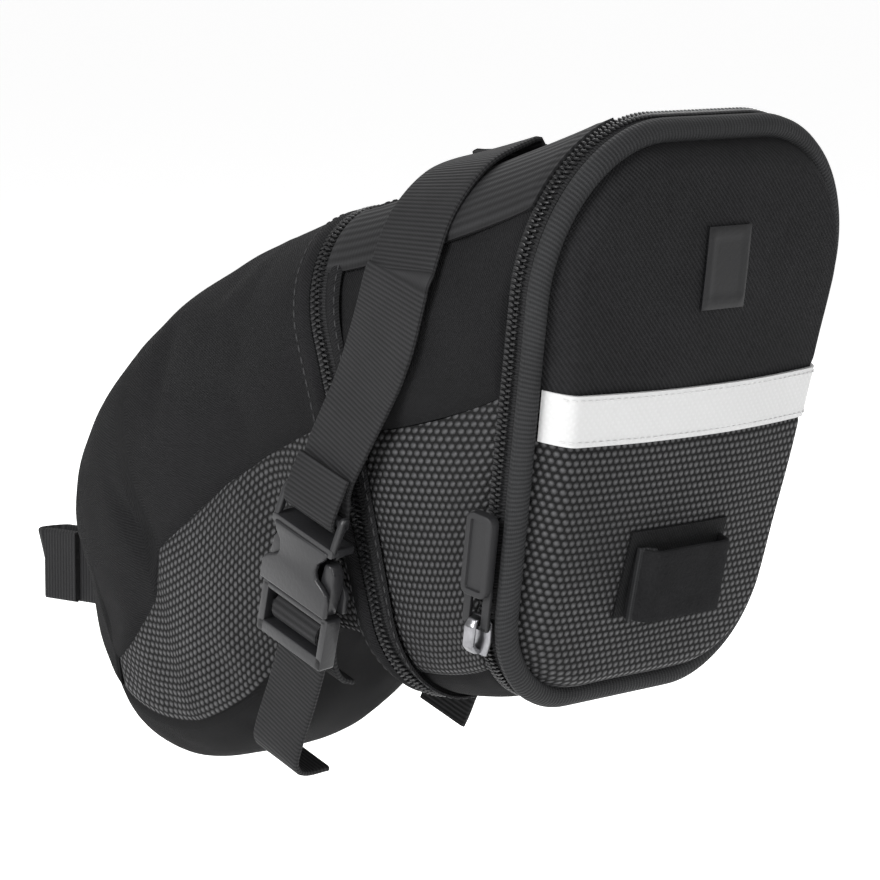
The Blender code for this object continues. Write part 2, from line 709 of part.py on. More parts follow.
def build_adjuster(word, matrix, levels, material):
    """The web's free tail, over the plug's bar and down behind its foot, and its sewn end behind that."""
    window, bar, window_end, end, plate = levels
    half = WEB_WIDTH / 2 - CLEARANCE
    behind = -plate - CLEARANCE
    over = plate / 2 + CLEARANCE
    bar_end = bar + PLUG_BAR

    def strip(name, profile):
        loops = [[matrix @ Vector((x, y, z)) for y, z in profile] for x in (-half, half)]
        loft(name, loops, material)

    tail_end = end + TAIL_LENGTH
    strip(
        "strap_tail_" + word,
        [
            (-over, bar - CLEARANCE),
            (over, bar - CLEARANCE),
            (over, bar_end + CLEARANCE),
            (behind - WEB_THICKNESS, window_end),
            (behind - WEB_THICKNESS, tail_end),
            (behind, tail_end),
            (behind, window_end - CLEARANCE),
            (over + WEB_THICKNESS, bar_end + CLEARANCE * 4),
            (over + WEB_THICKNESS, bar - CLEARANCE - WEB_THICKNESS),
            (-over, bar - CLEARANCE - WEB_THICKNESS),
        ],
    )
    back = behind - WEB_THICKNESS - CLEARANCE
    strip(
        "strap_anchor_" + word,
        [
            (back, window),
            (back, end + ANCHOR_DROP / 2),
            (back - WEB_THICKNESS, end + ANCHOR_DROP),
            (back - WEB_THICKNESS * 2, end + ANCHOR_DROP),
            (back - WEB_THICKNESS, end + ANCHOR_DROP / 2),
            (back - WEB_THICKNESS, window),
        ],
    )


def side_frame(ring, z, side):
    """A frame on the line of a ring's straight side: across the zip, outward and up along the zip."""
    lean = side_lean(ring)
    reach = (ring.top_half + ring.bottom_half) / 2 + z * math.tan(lean)
    origin = at(ring, side * reach, z)
    up = (ring_up(ring) * math.cos(lean) + Vector((0.0, side * math.sin(lean), 0.0))).normalized()
    outward = (Vector((0.0, side * math.cos(lean), 0.0)) - ring_up(ring) * math.sin(lean)).normalized()
    across = ring_normal(ring)
    return Matrix.Translation(origin) @ Matrix((across, outward, up)).transposed().to_4x4()


def build_slider(name, ring, height, side, materials):
    """A slider over the zip, with a bail, and a moulded puller that turns on the bail."""
    matrix = side_frame(ring, height, side)
    base = ZIP_HEIGHT - WALL + CLEARANCE
    plate = base + SLIDER_PLATE
    top = plate + SLIDER_STAND
    half, wide = SLIDER_LENGTH / 2, SLIDER_WIDTH / 2
    foot = -half + BAIL_SIZE
    slider = [
        ((-wide, base, -half), (wide, plate, half)),
        ((-BAIL_WIDTH / 2, plate - CLEARANCE, -half), (BAIL_WIDTH / 2, top, foot)),
        ((-BAIL_WIDTH / 2, plate - CLEARANCE, half - BAIL_SIZE), (BAIL_WIDTH / 2, top, half)),
        ((-BAIL_WIDTH / 2, top - CLEARANCE, -half), (BAIL_WIDTH / 2, top + BAIL_SIZE, half)),
    ]
    union_of(name + "_slider", slider, matrix, materials["metal"])
    pin_y, pin_z = (plate + top) / 2, half - BAIL_SIZE - SLIDER_STAND / 2
    arm = PULLER_PIN / 2
    inner, outer = BAIL_WIDTH / 2 + CLEARANCE, PULLER_WIDTH / 2
    low, high = pin_y - arm, pin_y + arm
    body = pin_z + PULLER_ARM
    puller = [
        ((-outer, low, pin_z - arm), (outer, high, pin_z + arm)),
        ((-outer, low, pin_z - arm), (-inner, high, body + arm)),
        ((inner, low, pin_z - arm), (outer, high, body + arm)),
        ((-outer, low, body), (outer, low + PULLER_THICKNESS, pin_z + PULLER_LENGTH)),
    ]
    pin = matrix @ Vector((0.0, pin_y, pin_z))
    union_of(name + "_puller", puller, matrix, materials["rubber"], pivot=pin)


def main():
    clear_scene()
    materials = {
        "cloth": make_material("plain cloth", (0.022, 0.022, 0.024), 0.85),
        "textured": make_material("textured cloth", (0.030, 0.030, 0.032), 0.60),
        "base_cloth": make_material("base cloth", (0.018, 0.018, 0.019), 0.80),
        "binding": make_material("binding tape", (0.035, 0.036, 0.038), 0.80),
        "reflector": make_material("reflective tape", (0.760, 0.760, 0.760), 0.45),
        "webbing": make_material("webbing", (0.020, 0.020, 0.021), 0.80),
        "hook_tape": make_material("hook tape", (0.024, 0.024, 0.025), 0.90),
        "coil": make_material("zip coil", (0.016, 0.016, 0.017), 0.55),
        "moulding": make_material("buckle moulding", (0.045, 0.045, 0.048), 0.50),
        "rubber": make_material("soft moulding", (0.030, 0.030, 0.032), 0.60),
        "metal": make_material("slider metal", (0.180, 0.180, 0.190), 0.35, 1.0),
        "board": make_material("stiffener board", (0.060, 0.060, 0.062), 0.60),
        "lining": make_material("gusset cloth", (0.020, 0.020, 0.022), 0.85),
    }
    build_lid(materials)
    build_rear_section(materials)
    build_expander(materials)
    build_front(materials)
    build_seatpost_loop(materials)
    build_straps(materials)
    zip_ring = mouth_ring((LID_ZIP_END + BODY_ZIP_START) / 2)
    build_slider("main", zip_ring, MAIN_SLIDER_HEIGHT, NEAR, materials)
    build_slider("expansion", EXPANSION, EXPANSION_SLIDER_HEIGHT, FAR, materials)


main()
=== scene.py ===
"""Saddle bag: dresses the solids of a wedge saddle bag with cloth, webbing, zips and buckles."""

import math
from collections import namedtuple

import bmesh
import bpy
from mathutils import Matrix, Vector, noise


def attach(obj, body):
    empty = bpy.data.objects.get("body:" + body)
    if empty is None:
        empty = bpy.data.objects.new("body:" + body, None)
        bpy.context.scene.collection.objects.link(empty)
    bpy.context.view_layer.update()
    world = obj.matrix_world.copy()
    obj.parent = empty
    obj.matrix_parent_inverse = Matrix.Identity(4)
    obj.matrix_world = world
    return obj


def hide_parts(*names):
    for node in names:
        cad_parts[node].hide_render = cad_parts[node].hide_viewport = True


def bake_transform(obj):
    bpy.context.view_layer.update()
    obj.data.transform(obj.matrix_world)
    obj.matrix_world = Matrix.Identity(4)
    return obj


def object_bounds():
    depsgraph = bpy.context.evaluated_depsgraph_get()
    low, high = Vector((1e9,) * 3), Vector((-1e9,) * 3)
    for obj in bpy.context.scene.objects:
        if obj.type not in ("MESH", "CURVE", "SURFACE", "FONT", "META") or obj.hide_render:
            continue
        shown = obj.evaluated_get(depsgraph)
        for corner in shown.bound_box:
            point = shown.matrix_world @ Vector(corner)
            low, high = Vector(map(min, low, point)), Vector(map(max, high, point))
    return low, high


bl_info = {
    "name": "Saddle Bag",
    "version": (1, 0, 0),
    "blender": (4, 5, 0),
    "location": "View3D > Sidebar > Saddle Bag",
    "description": "Builds the cloth, webbing, zips and buckles of a wedge saddle bag over its solids",
    "category": "Add Mesh",
}

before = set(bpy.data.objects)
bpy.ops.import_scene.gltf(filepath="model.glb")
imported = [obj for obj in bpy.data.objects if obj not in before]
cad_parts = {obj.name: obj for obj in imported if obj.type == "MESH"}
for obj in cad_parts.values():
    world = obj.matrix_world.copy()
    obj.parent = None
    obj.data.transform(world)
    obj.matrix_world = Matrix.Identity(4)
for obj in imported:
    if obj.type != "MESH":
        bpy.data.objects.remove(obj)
SOLID_BOX = [[float(c) for c in corner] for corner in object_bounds()]

# The solids' cross-sections, from the lid's rear edge to the nose: rounded trapeziums leaned about Y
Ring = namedtuple("Ring", "x z tilt half_height top_half bottom_half top_radius bottom_radius seam")
REAR_EDGE = Ring(0.0396, -0.0657, 12.0, 0.0742, 0.0604, 0.0452, 0.0380, 0.0290, 0.33)
EXPANSION = Ring(-0.0288, -0.0783, -11.0, 0.0640, 0.0547, 0.0430, 0.0290, 0.0250, 0.345)
NOSE_RINGS = (
    Ring(-0.0632, -0.0847, -16.0, 0.0596, 0.0480, 0.0400, 0.0280, 0.0240, 0.42),
    Ring(-0.0962, -0.1018, -16.0, 0.0615, 0.0412, 0.0365, 0.0260, 0.0230, 0.38),
    Ring(-0.1232, -0.1167, -16.0, 0.0572, 0.0345, 0.0310, 0.0240, 0.0210, 0.36),
    Ring(-0.1428, -0.1259, -16.0, 0.0480, 0.0270, 0.0250, 0.0210, 0.0190, 0.54),
    Ring(-0.1560, -0.1290, -16.0, 0.0332, 0.0190, 0.0180, 0.0160, 0.0150, 0.90),
    Ring(-0.1638, -0.1239, -16.0, 0.0150, 0.0120, 0.0115, 0.0095, 0.0090, 0.97),
)

# Places on a ring, from the middle of the top (0), down the near side, to the middle of the bottom
TOP_END, SIDE_TOP, SEAM, SIDE_FOOT, BASE_EDGE, FOOT_END, HALF = 2, 8, 10, 12, 14, 16, 18
AROUND = 2 * HALF
WHOLE_RING, ZIPPED_RING = (0, AROUND), (-FOOT_END, FOOT_END)
RUNNER_PLACES = (3, 6)
NEAR, FAR = -1, 1
SIDES = (("left", NEAR), ("right", FAR))
MIDDLE = Vector((-0.05, 0.0, -0.080))

# Where the textured sides of the front section start and end: (share of its length, place on the ring)
SEAM_LINE = (
    (0.0, 9.35), (0.07, 9.4), (0.256, 9.7), (0.45, 9.8), (0.605, 9.9), (0.65, 10.5), (0.731, 10.8),
    (0.825, 11.2), (0.93, 11.8), (1.0, 11.95),
)
FOOT_LINE = (
    (0.0, 12.7), (0.08, 13.2), (0.3, 13.5), (0.63, 13.2), (0.72, 12.85), (0.825, 12.35), (0.93, 11.9),
    (1.0, 12.05),
)
SIDE_REACH = 0.868  # share of the front section that the textured sides cover
BOARD_REACH = (0.222, 0.690)  # shares between which the base's stiffener lies
SEAM_LAP = 0.12  # part of a place by which a side runs under the upper cloth

# How the cloth hangs: the top sags, the nose drops and reaches ahead, the base rises and is drawn up
TOP_SAG, NOSE_DROP, NOSE_REACH = 0.0032, 0.0016, 0.0006
BASE_RISE, BASE_PULL = 0.0064, 0.0135
CREASE, NOSE_DIP, SIDE_TUCK, BASE_FOLD, BASE_TUCK = 0.0022, 0.0006, 0.0014, 0.0011, 0.0012
PRESSURE, LAST_FRAME, SMOOTHINGS, MOST_PRESSED = 4.0, 20, 5, 0.0022
RUNNER_LIFT, RUNNER_WALL = 0.0014, 0.0013
EXPANSION_SEAT = 0.0030

# Lid and main zip, as depths forward from the lid's rear edge
LID_DEPTH, LID_FLARE = 0.0070, 0.0018
SEAM_GAP, ZIP_HALF, ZIP_SPLIT = 0.0003, 0.0025, 0.0004
LID_ZIP = (LID_DEPTH + SEAM_GAP, LID_DEPTH + SEAM_GAP + ZIP_HALF)
BODY_ZIP = (LID_ZIP[1] + ZIP_SPLIT, LID_ZIP[1] + ZIP_SPLIT + ZIP_HALF)
ZIP_MIDDLE = (LID_ZIP[1] + BODY_ZIP[0]) / 2
REAR_START = BODY_ZIP[1] + SEAM_GAP

# Padded lid panels: inset of the outline, heights at rim, edge and middle, and width of the rolled rim
PANEL_GROOVE = 0.0030
PANEL_RIM, PANEL_EDGE, PANEL_CROWN, PANEL_ROLL = -0.0022, 0.0026, 0.0060, 0.0060
LID_SPREAD = 1.034  # how much wider the cloth lies than the solids
PAD_WALL, PAD_RUMPLE, PAD_HEM, PAD_FILL = 0.0024, 0.0005, 0.0006, 0.8
STRIP_LOW, STRIP_HIGH, STRIP_LAP = -0.0024, 0.0107, 0.0006
STRIP_WALL, STRIP_PROUD, STRIP_RUMPLE = 0.0009, 0.0007, 0.0002
STRIP_HEM = 0.0012
LOOP_CENTRE, LOOP_LENGTH, LOOP_WIDTH, LOOP_LIFT, LOOP_FLAT = -0.0400, 0.0340, 0.0190, 0.0038, 0.0270
BACKING_START, BACKING_LONG, BACKING_WIDE = 0.0028, LOOP_LENGTH + 0.0040, LOOP_WIDTH + 0.0042
BACKING_LIFT, BACKING_WALL = 0.0009, 0.0010
PATCH_WIDTH, PATCH_HEIGHT, PATCH_CENTRE, PATCH_WALL = 0.0170, 0.0210, 0.0410, 0.0009
LID_BOARD_INSET, LID_BOARD_WALL, BASE_BOARD_INSET, BASE_BOARD_WALL = 0.0085, 0.0018, 0.0045, 0.0016

# The taped edge's section, from the groove over its roll to the zip: (inset, depth)
BINDING_LINE = (
    (0.0046, 0.0034), (0.0036, 0.0022), (0.0024, 0.0012), (0.0010, 0.0008), (-0.0003, 0.0011),
    (-0.0012, 0.0021), (-0.0016, 0.0034), (-0.0014, 0.0048), (-0.0008, 0.0058), (0.0000, 0.0065),
    (0.0006, 0.0070),
)
BINDING_WALL, BINDING_FADE = 0.0016, 0.0035

# A zip tape's section, from its coil to the edge that turns in under the cloth: (share of its width, inset)
TAPE_LINE = ((0.0, 0.0003), (0.33, 0.0003), (0.67, 0.0003), (1.0, 0.0006), (1.25, 0.0018), (2.4, 0.0024))
TAPE_WALL = 0.0012
COIL_OFFSET, COIL_LIFT, COIL_TURN, COIL_BEAD = 0.00085, 0.0002, 0.25, (0.00048, 0.00125, 0.00062)
FRONT_BAND, REAR_BAND, BAND_STITCHES = 0.006, 0.005, 0.78
BAND_LIFT, BAND_SINK, BAND_HEM = 0.0015, 0.0004, 0.0005
GUSSET_REACH, GUSSET_INSET, GUSSET_SLOPE, GUSSET_FOLD, GUSSET_WALL = 0.0270, 0.0024, 0.0036, 0.0004, 0.0005

# Zip sliders, on the straight side of each zip
SLIDER_HEIGHT, EXPANSION_SLIDER_HEIGHT = -0.0550, 0.0260
SLIDER_BASE, SLIDER_WALL, BAIL_HALF, SLIDER_BEVEL = 0.0009, 0.0012, 0.0015, 0.0004
PIN_OUT, PIN_UP, PIN_RADIUS = 0.0032, 0.00255, 0.0006
PULLER_HALF, PULLER_START, PULLER_END, PULLER_RISE = 0.00425, 0.0083, 0.0300, 0.0026

# Webbing and buckles; the buckle's top and foot are (x, z)
WEB_WIDTH, WEB_THICKNESS = 0.0228, 0.0016
STRAP_GAP, STRAP_STAND, STRAP_NECK, TAIL_NECK = 0.0040, 0.0024, 0.86, 0.80
STRAP_SEWN = ((-0.0105, -0.0036), (-0.0132, -0.0006), (-0.0185, 0.0028))  # (y, height above the crown)
STRAP_SIDE = ((-0.0030, -0.0310), (-0.0085, -0.0450), (-0.0168, -0.0590))  # (x, z)
BUCKLE_TOP, BUCKLE_FOOT = (-0.0325, -0.0910), (-0.0432, -0.1215)
BUCKLE_STAND, BUCKLE_DEEP, BUCKLE_HALF, BUCKLE_RAIL = 0.0052, 0.0040, 0.0132, 0.0024
BUCKLE_PLATE, BAR_RADIUS = BUCKLE_DEEP - 0.0017, 0.0016
SOCKET_NECK, SOCKET_WAIST, SOCKET_SLOT, SOCKET_END = 0.0122, 0.0070, 0.0052, 0.0245
PLUG_SPLIT, PLUG_LENGTH = 0.0008, 0.0150
PLUG_START = SOCKET_END + PLUG_SPLIT
PLUG_END, PLUG_WINDOW = PLUG_START + PLUG_LENGTH, PLUG_START + BUCKLE_RAIL
PLUG_BAR, PLUG_FOOT = PLUG_WINDOW + 0.0035, PLUG_WINDOW + 0.0092

# Seatpost loop
POST_WEB, POST_INSIDE, POST_REACH, POST_DROP = 0.0205, 0.0032, 0.0285, 0.0018
NOSE_PATCH_HALF, NOSE_PATCH_RISE, NOSE_PATCH_ROUND, FLAP_LENGTH = 0.0135, 0.0020, 0.0115, 0.0130

# Stage: lights as (name, place, size, power)
LIGHTS = (
    ("key", (-0.05, -1.30, 0.60), 0.6, 27.0),
    ("lid", (1.30, -0.40, 0.45), 0.7, 11.0),
    ("rim", (-0.70, 0.80, 0.90), 0.8, 10.0),
)
WHITE, PALE, GLOW = (1.0, 1.0, 1.0, 1.0), (0.95, 0.95, 0.95, 1.0), 0.5
FLOOR_SIZE, FLOOR_DROP = 60.0, 0.040  # the drop leaves room for the open lid
VIEW_AZIMUTH, VIEW_ELEVATION, VIEW_DISTANCE, LENS, SENSOR = 42, 7, 1.056, 162.0, 36.0
VIEW_CENTRE = Vector((-0.0403, 0.0, -0.0785))

# Each cloth's finish and slot
PLAIN, DOTTED, BASE = ("cloth", "plain_cloth"), ("dotted", "textured_cloth"), ("base", "base_cloth")
PADDED, RUNNER = ("rear_cloth", "plain_cloth"), ("runner", "webbing")
MERGE = 1e-6


class BagColours(bpy.types.PropertyGroup):
    """Colours of the bag's cloth and fittings."""

    cloth: bpy.props.FloatVectorProperty(
        name="Cloth", description="Plain woven cloth", subtype="COLOR", size=3,
        default=(0.0062, 0.0062, 0.0066),
    )
    # painted highlight: colour of the raised dots, lighter than the cloth to stand for the light they catch
    dot_highlight: bpy.props.FloatVectorProperty(
        name="Relief", description="Raised dots of the textured cloth", subtype="COLOR", size=3,
        default=(0.052, 0.052, 0.054),
    )
    webbing: bpy.props.FloatVectorProperty(
        name="Webbing", description="Strap webbing", subtype="COLOR", size=3, default=(0.0085, 0.0085, 0.0090)
    )
    binding: bpy.props.FloatVectorProperty(
        name="Binding", description="Tape sewn round the lid", subtype="COLOR", size=3,
        default=(0.0110, 0.0112, 0.0118),
    )
    reflector: bpy.props.FloatVectorProperty(
        name="Reflector", description="Reflective strip", subtype="COLOR", size=3, default=(0.43, 0.43, 0.43)
    )
    moulding: bpy.props.FloatVectorProperty(
        name="Moulding", description="Buckles", subtype="COLOR", size=3, default=(0.0130, 0.0130, 0.0140)
    )
    metal: bpy.props.FloatVectorProperty(
        name="Metal", description="Zip sliders", subtype="COLOR", size=3, default=(0.22, 0.22, 0.23)
    )


class BagSizes(bpy.types.PropertyGroup):
    """Sizes of the cloth that the solids don't settle."""

    wall: bpy.props.FloatProperty(
        name="Cloth", description="Thickness of the sewn panels", unit="LENGTH",
        default=0.0014, min=0.0005, max=0.0019,
    )
    puff: bpy.props.FloatProperty(
        name="Puff", description="Swell of a panel between its seams", unit="LENGTH",
        default=0.0003, max=0.004,
    )
    pinch: bpy.props.FloatProperty(
        name="Pinch", description="Depth of a sewn edge", unit="LENGTH", default=0.0008, max=0.002
    )
    rumple: bpy.props.FloatProperty(
        name="Rumple", description="Height of the soft folds", unit="LENGTH", default=0.0006, max=0.004
    )
    tooth: bpy.props.FloatProperty(
        name="Tooth", description="Pitch of the zip coils", unit="LENGTH",
        default=0.0015, min=0.0008, max=0.004,
    )
    stitch: bpy.props.FloatProperty(
        name="Stitch", description="Pitch of the stitching", unit="LENGTH",
        default=0.0030, min=0.001, max=0.008,
    )


class Wire:
    """A shader socket whose operators add Math nodes."""

    def __init__(self, paint, socket):
        self.paint, self.socket = paint, socket

    def maths(self, operation, *others):
        values = {i: value for i, value in enumerate((self, *others))}
        return self.paint.node("ShaderNodeMath", values, operation=operation)

    def reverse(self, operation, other):
        return self.paint.node("ShaderNodeMath", {0: other, 1: self}, operation=operation)

    def __add__(self, other):
        return self.maths("ADD", other)

    def __radd__(self, other):
        return self.maths("ADD", other)

    def __sub__(self, other):
        return self.maths("SUBTRACT", other)

    def __rsub__(self, other):
        return self.reverse("SUBTRACT", other)

    def __mul__(self, other):
        return self.maths("MULTIPLY", other)

    def __rmul__(self, other):
        return self.maths("MULTIPLY", other)

    def __truediv__(self, other):
        return self.maths("DIVIDE", other)

    def __mod__(self, other):
        return self.maths("FLOORED_MODULO", other)

    def __pow__(self, other):
        return self.maths("POWER", other)

    def limited(self):
        return self.maths("MAXIMUM", 0.0).maths("MINIMUM", 1.0)

    def wave(self, pitch):
        """A ridge from 0 to 1 that repeats every pitch metres."""
        return (self * (math.tau / pitch)).maths("SINE") * 0.5 + 0.5


class Paint:
    """A material made of nodes."""

    def __init__(self, name, roughness, **fixed):
        self.material = bpy.data.materials.new(name)
        self.material.use_nodes = True
        self.tree = self.material.node_tree
        self.shader = self.tree.nodes["Principled BSDF"]
        self.shader.inputs["Roughness"].default_value = roughness
        for socket, value in fixed.items():
            self.shader.inputs[socket.replace("_", " ").title().replace("Ior", "IOR")].default_value = value

    def node(self, kind, values, output=0, **settings):
        node = self.tree.nodes.new(kind)
        for key, value in settings.items():
            setattr(node, key, value)
        for key, value in values.items():
            if isinstance(value, Wire):
                self.tree.links.new(value.socket, node.inputs[key])
            else:
                node.inputs[key].default_value = value
        return Wire(self, node.outputs[output])

    def flat(self):
        """The piece's own UV map, in metres: along the first and the second direction."""
        uv = self.node("ShaderNodeTexCoord", {}, "UV")
        return tuple(self.node("ShaderNodeSeparateXYZ", {0: uv}, axis) for axis in ("X", "Y"))

    def grain(self, scale, detail=2.0):
        place = self.node("ShaderNodeTexCoord", {}, "Object")
        return self.node("ShaderNodeTexNoise", {"Vector": place, "Scale": scale, "Detail": detail}, "Fac")

    def blend(self, share, first, second):
        """A colour between two others."""
        values = {0: share, 6: (*first, 1.0), 7: (*second, 1.0)}
        return self.node("ShaderNodeMix", values, 2, data_type="RGBA")

    def feed(self, socket, wire):
        self.tree.links.new(wire.socket, self.shader.inputs[socket])

    def raise_by(self, height, metres):
        values = {"Height": height, "Distance": metres, "Strength": 1.0}
        self.feed("Normal", self.node("ShaderNodeBump", values))


def shade(colour, share):
    return tuple(c * share for c in colour)


def twill_cloth(name, colour, pitch=0.00085):
    """Woven cloth with a fine diagonal line."""
    paint = Paint(name, 0.82, specular_ior_level=0.10)
    u, v = paint.flat()
    diagonal = (u + v).wave(pitch)
    threads = (u - v).wave(pitch * 0.5)
    wear = paint.grain(55.0)
    height = diagonal * 0.7 + threads * 0.3
    fleck = paint.grain(1.1 / pitch, 3.0)
    tone = (height * 0.45 + fleck * 0.5 + wear * 0.3 - 0.12).limited()
    paint.feed("Base Color", paint.blend(tone, shade(colour, 0.25), shade(colour, 2.2)))
    paint.feed("Roughness", 0.92 - height * 0.16)
    paint.raise_by(height * 0.6 + fleck * 0.4, 0.0004)
    return paint.material


def dotted_cloth(name, colour, dot_highlight, across=0.00225, rows=0.0019):
    """Cloth with raised dots in staggered rows, painted light on the dots and painted shade between them."""
    paint = Paint(name, 0.50, specular_ior_level=0.20)
    u, v = paint.flat()
    row = (u / rows).maths("FLOOR") % 2.0
    side = ((v / across + row * 0.5).maths("FRACT") - 0.5) * 2.3
    along = ((u / rows).maths("FRACT") - 0.5) * 2.15
    dot = (1.0 - (side * side + along * along)).limited() ** 0.6
    wear = paint.grain(42.0)
    # painted highlight: each raised dot's colour is lightened towards the highlight colour, unevenly; the
    # ground between the dots is painted dark as shade
    shine = (dot * (0.55 + wear * 0.75)).limited()
    paint.feed("Base Color", paint.blend(shine, shade(colour, 0.35), dot_highlight))
    paint.feed("Roughness", 0.85 - dot * 0.42)
    paint.raise_by(dot, 0.0010)
    return paint.material


def ribbed_web(name, colour, pitch=0.0012, lengthwise=False):
    """Webbing or tape with ribs across it, or along it."""
    paint = Paint(name, 0.75, specular_ior_level=0.18)
    u, v = paint.flat()
    ribbed, plain = (u, v) if lengthwise else (v, u)
    rib, thread = ribbed.wave(pitch), plain.wave(pitch * 0.45)
    wear = paint.grain(70.0)
    height = rib * 0.75 + thread * 0.25
    tone = (height * 0.6 + wear * 0.4).limited()
    paint.feed("Base Color", paint.blend(tone, shade(colour, 0.45), shade(colour, 2.0)))
    paint.feed("Roughness", 0.88 - rib * 0.2)
    paint.raise_by(height, 0.00018)
    return paint.material


def plain_moulding(name, colour, roughness, gloss=0.3, grain=900.0):
    """Moulded plastic or rubber with a fine grain and worn edges."""
    paint = Paint(name, roughness, specular_ior_level=gloss)
    fine, broad = paint.grain(grain), paint.grain(60.0)
    paint.feed("Base Color", paint.blend(broad, shade(colour, 0.8), shade(colour, 1.25)))
    paint.feed("Roughness", broad * 0.16 + (roughness - 0.08))
    paint.raise_by(fine, 0.00006)
    return paint.material


def bright_metal(name, colour):
    paint = Paint(name, 0.32, metallic=1.0)
    scratch = paint.grain(380.0, 4.0)
    paint.feed("Base Color", paint.blend(scratch, shade(colour, 0.55), shade(colour, 1.5)))
    paint.feed("Roughness", scratch * 0.25 + 0.2)
    paint.raise_by(scratch, 0.00003)
    return paint.material


def reflective_tape(name, colour):
    paint = Paint(name, 0.38, coat_weight=0.15, coat_roughness=0.3)
    u, v = paint.flat()
    lattice = (u + v).wave(0.0021) * (u - v).wave(0.0021)
    wear = paint.grain(30.0)
    tone = (lattice * 0.25 + wear * 0.6).limited()
    paint.feed("Base Color", paint.blend(tone, shade(colour, 0.86), colour))
    paint.feed("Roughness", 0.5 - lattice * 0.14)
    paint.raise_by(lattice, 0.00005)
    return paint.material


def fuzzy_cloth(name, colour):
    """Looped pile of a hook-and-loop face."""
    paint = Paint(name, 0.95, specular_ior_level=0.05)
    pile, patch = paint.grain(1400.0, 3.0), paint.grain(160.0)
    tone = (pile * 0.6 + patch * 0.4).limited()
    paint.feed("Base Color", paint.blend(tone, shade(colour, 0.4), shade(colour, 1.7)))
    paint.raise_by(pile, 0.0005)
    return paint.material


FINISHES = {}


def make_finishes():
    colours = bpy.context.scene.saddle_bag_colours
    cloth, web = tuple(colours.cloth), tuple(colours.webbing)
    FINISHES.update(
        cloth=twill_cloth("plain twill", cloth),
        rear_cloth=twill_cloth("heavy twill", shade(cloth, 1.15), 0.0015),
        dotted=dotted_cloth("dotted cloth", cloth, tuple(colours.dot_highlight)),
        base=twill_cloth("base cloth", shade(cloth, 0.8), 0.0007),
        lining=twill_cloth("lining", shade(cloth, 1.3), 0.0005),
        binding=ribbed_web("binding tape", tuple(colours.binding), 0.0011),
        webbing=ribbed_web("webbing", web),
        runner=ribbed_web("runner webbing", web, 0.0026, True),
        zip_tape=ribbed_web("zip tape", web, 0.0008),
        coil=plain_moulding("zip coil", shade(web, 0.9), 0.40),
        thread=plain_moulding("thread", shade(web, 2.0), 0.7),
        pale_thread=plain_moulding("pale thread", (0.42, 0.42, 0.42), 0.7),
        reflector=reflective_tape("reflective tape", tuple(colours.reflector)),
        moulding=plain_moulding("buckle moulding", tuple(colours.moulding), 0.34),
        rubber=plain_moulding("soft moulding", (0.0080, 0.0080, 0.0088), 0.55),
        badge=plain_moulding("patch moulding", (0.0070, 0.0070, 0.0076), 0.5, 0.2),
        metal=bright_metal("slider metal", tuple(colours.metal)),
        pile=fuzzy_cloth("pile", (0.010, 0.010, 0.0105)),
        board=plain_moulding("stiffener", (0.018, 0.018, 0.019), 0.60),
    )


def piece(name, bm, finish, body=None, nodes=()):
    """Makes an object of a mesh, hangs it on the body that it rides on, and hides the solids that it stands
    for.
    """
    mesh = bpy.data.meshes.new(name)
    bm.to_mesh(mesh)
    bm.free()
    mesh.materials.append(FINISHES[finish])
    mesh.shade_smooth()
    mesh.set_sharp_from_angle(angle=math.radians(38))
    obj = bpy.data.objects.new(name, mesh)
    bpy.context.scene.collection.objects.link(obj)
    if body:
        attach(obj, body)
    if nodes:
        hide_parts(*nodes)
    return obj


def bell(offset, width):
    """1 at no offset, fading to nothing within about two widths."""
    return math.exp(-((offset / width) ** 2))


def always(value):
    """The same value at every share of a length."""
    return lambda share: value


def run_of(points):
    """How far along a line each of its points lies."""
    gone = [0.0]
    for a, b in zip(points, points[1:]):
        gone.append(gone[-1] + (b - a).length)
    return gone


def grown(ring, amount):
    return ring._replace(
        half_height=ring.half_height + amount,
        top_half=ring.top_half + amount,
        bottom_half=ring.bottom_half + amount,
        top_radius=ring.top_radius + amount,
        bottom_radius=ring.bottom_radius + amount,
    )


def ring_normal(ring):
    lean = math.radians(ring.tilt)
    return Vector((math.cos(lean), 0.0, -math.sin(lean)))


def ring_up(ring):
    lean = math.radians(ring.tilt)
    return Vector((math.sin(lean), 0.0, math.cos(lean)))


def shifted(ring, distance):
    normal = ring_normal(ring)
    return ring._replace(x=ring.x + normal.x * distance, z=ring.z + normal.z * distance)


def blended(first, second, share):
    return Ring(*(a + (b - a) * share for a, b in zip(first, second)))


def at(ring, y, z, depth=0.0):
    """The point at y and z in the ring's own plane, moved depth along its normal."""
    return Vector((ring.x, y, ring.z)) + ring_up(ring) * z + ring_normal(ring) * depth


def side_lean(ring):
    return math.atan2(ring.top_half - ring.bottom_half, 2 * ring.half_height)


def corner_centres(ring):
    lean = side_lean(ring)
    top = ring.top_half - ring.top_radius * math.tan((math.pi / 2 + lean) / 2)
    bottom = ring.bottom_half - ring.bottom_radius * math.tan((math.pi / 2 - lean) / 2)
    return (top, ring.half_height - ring.top_radius), (bottom, ring.bottom_radius - ring.half_height)


def level_half_width(ring, z):
    """Half the ring's width at one height in its plane."""
    (top_y, top_z), (foot_y, foot_z) = corner_centres(ring)
    lean = side_lean(ring)
    if z > top_z - ring.top_radius * math.sin(lean):
        return top_y + math.sqrt(max(ring.top_radius**2 - (z - top_z) ** 2, 0.0))
    if z < foot_z - ring.bottom_radius * math.sin(lean):
        return foot_y + math.sqrt(max(ring.bottom_radius**2 - (z - foot_z) ** 2, 0.0))
    return (ring.top_half + ring.bottom_half) / 2 + z * math.tan(lean)


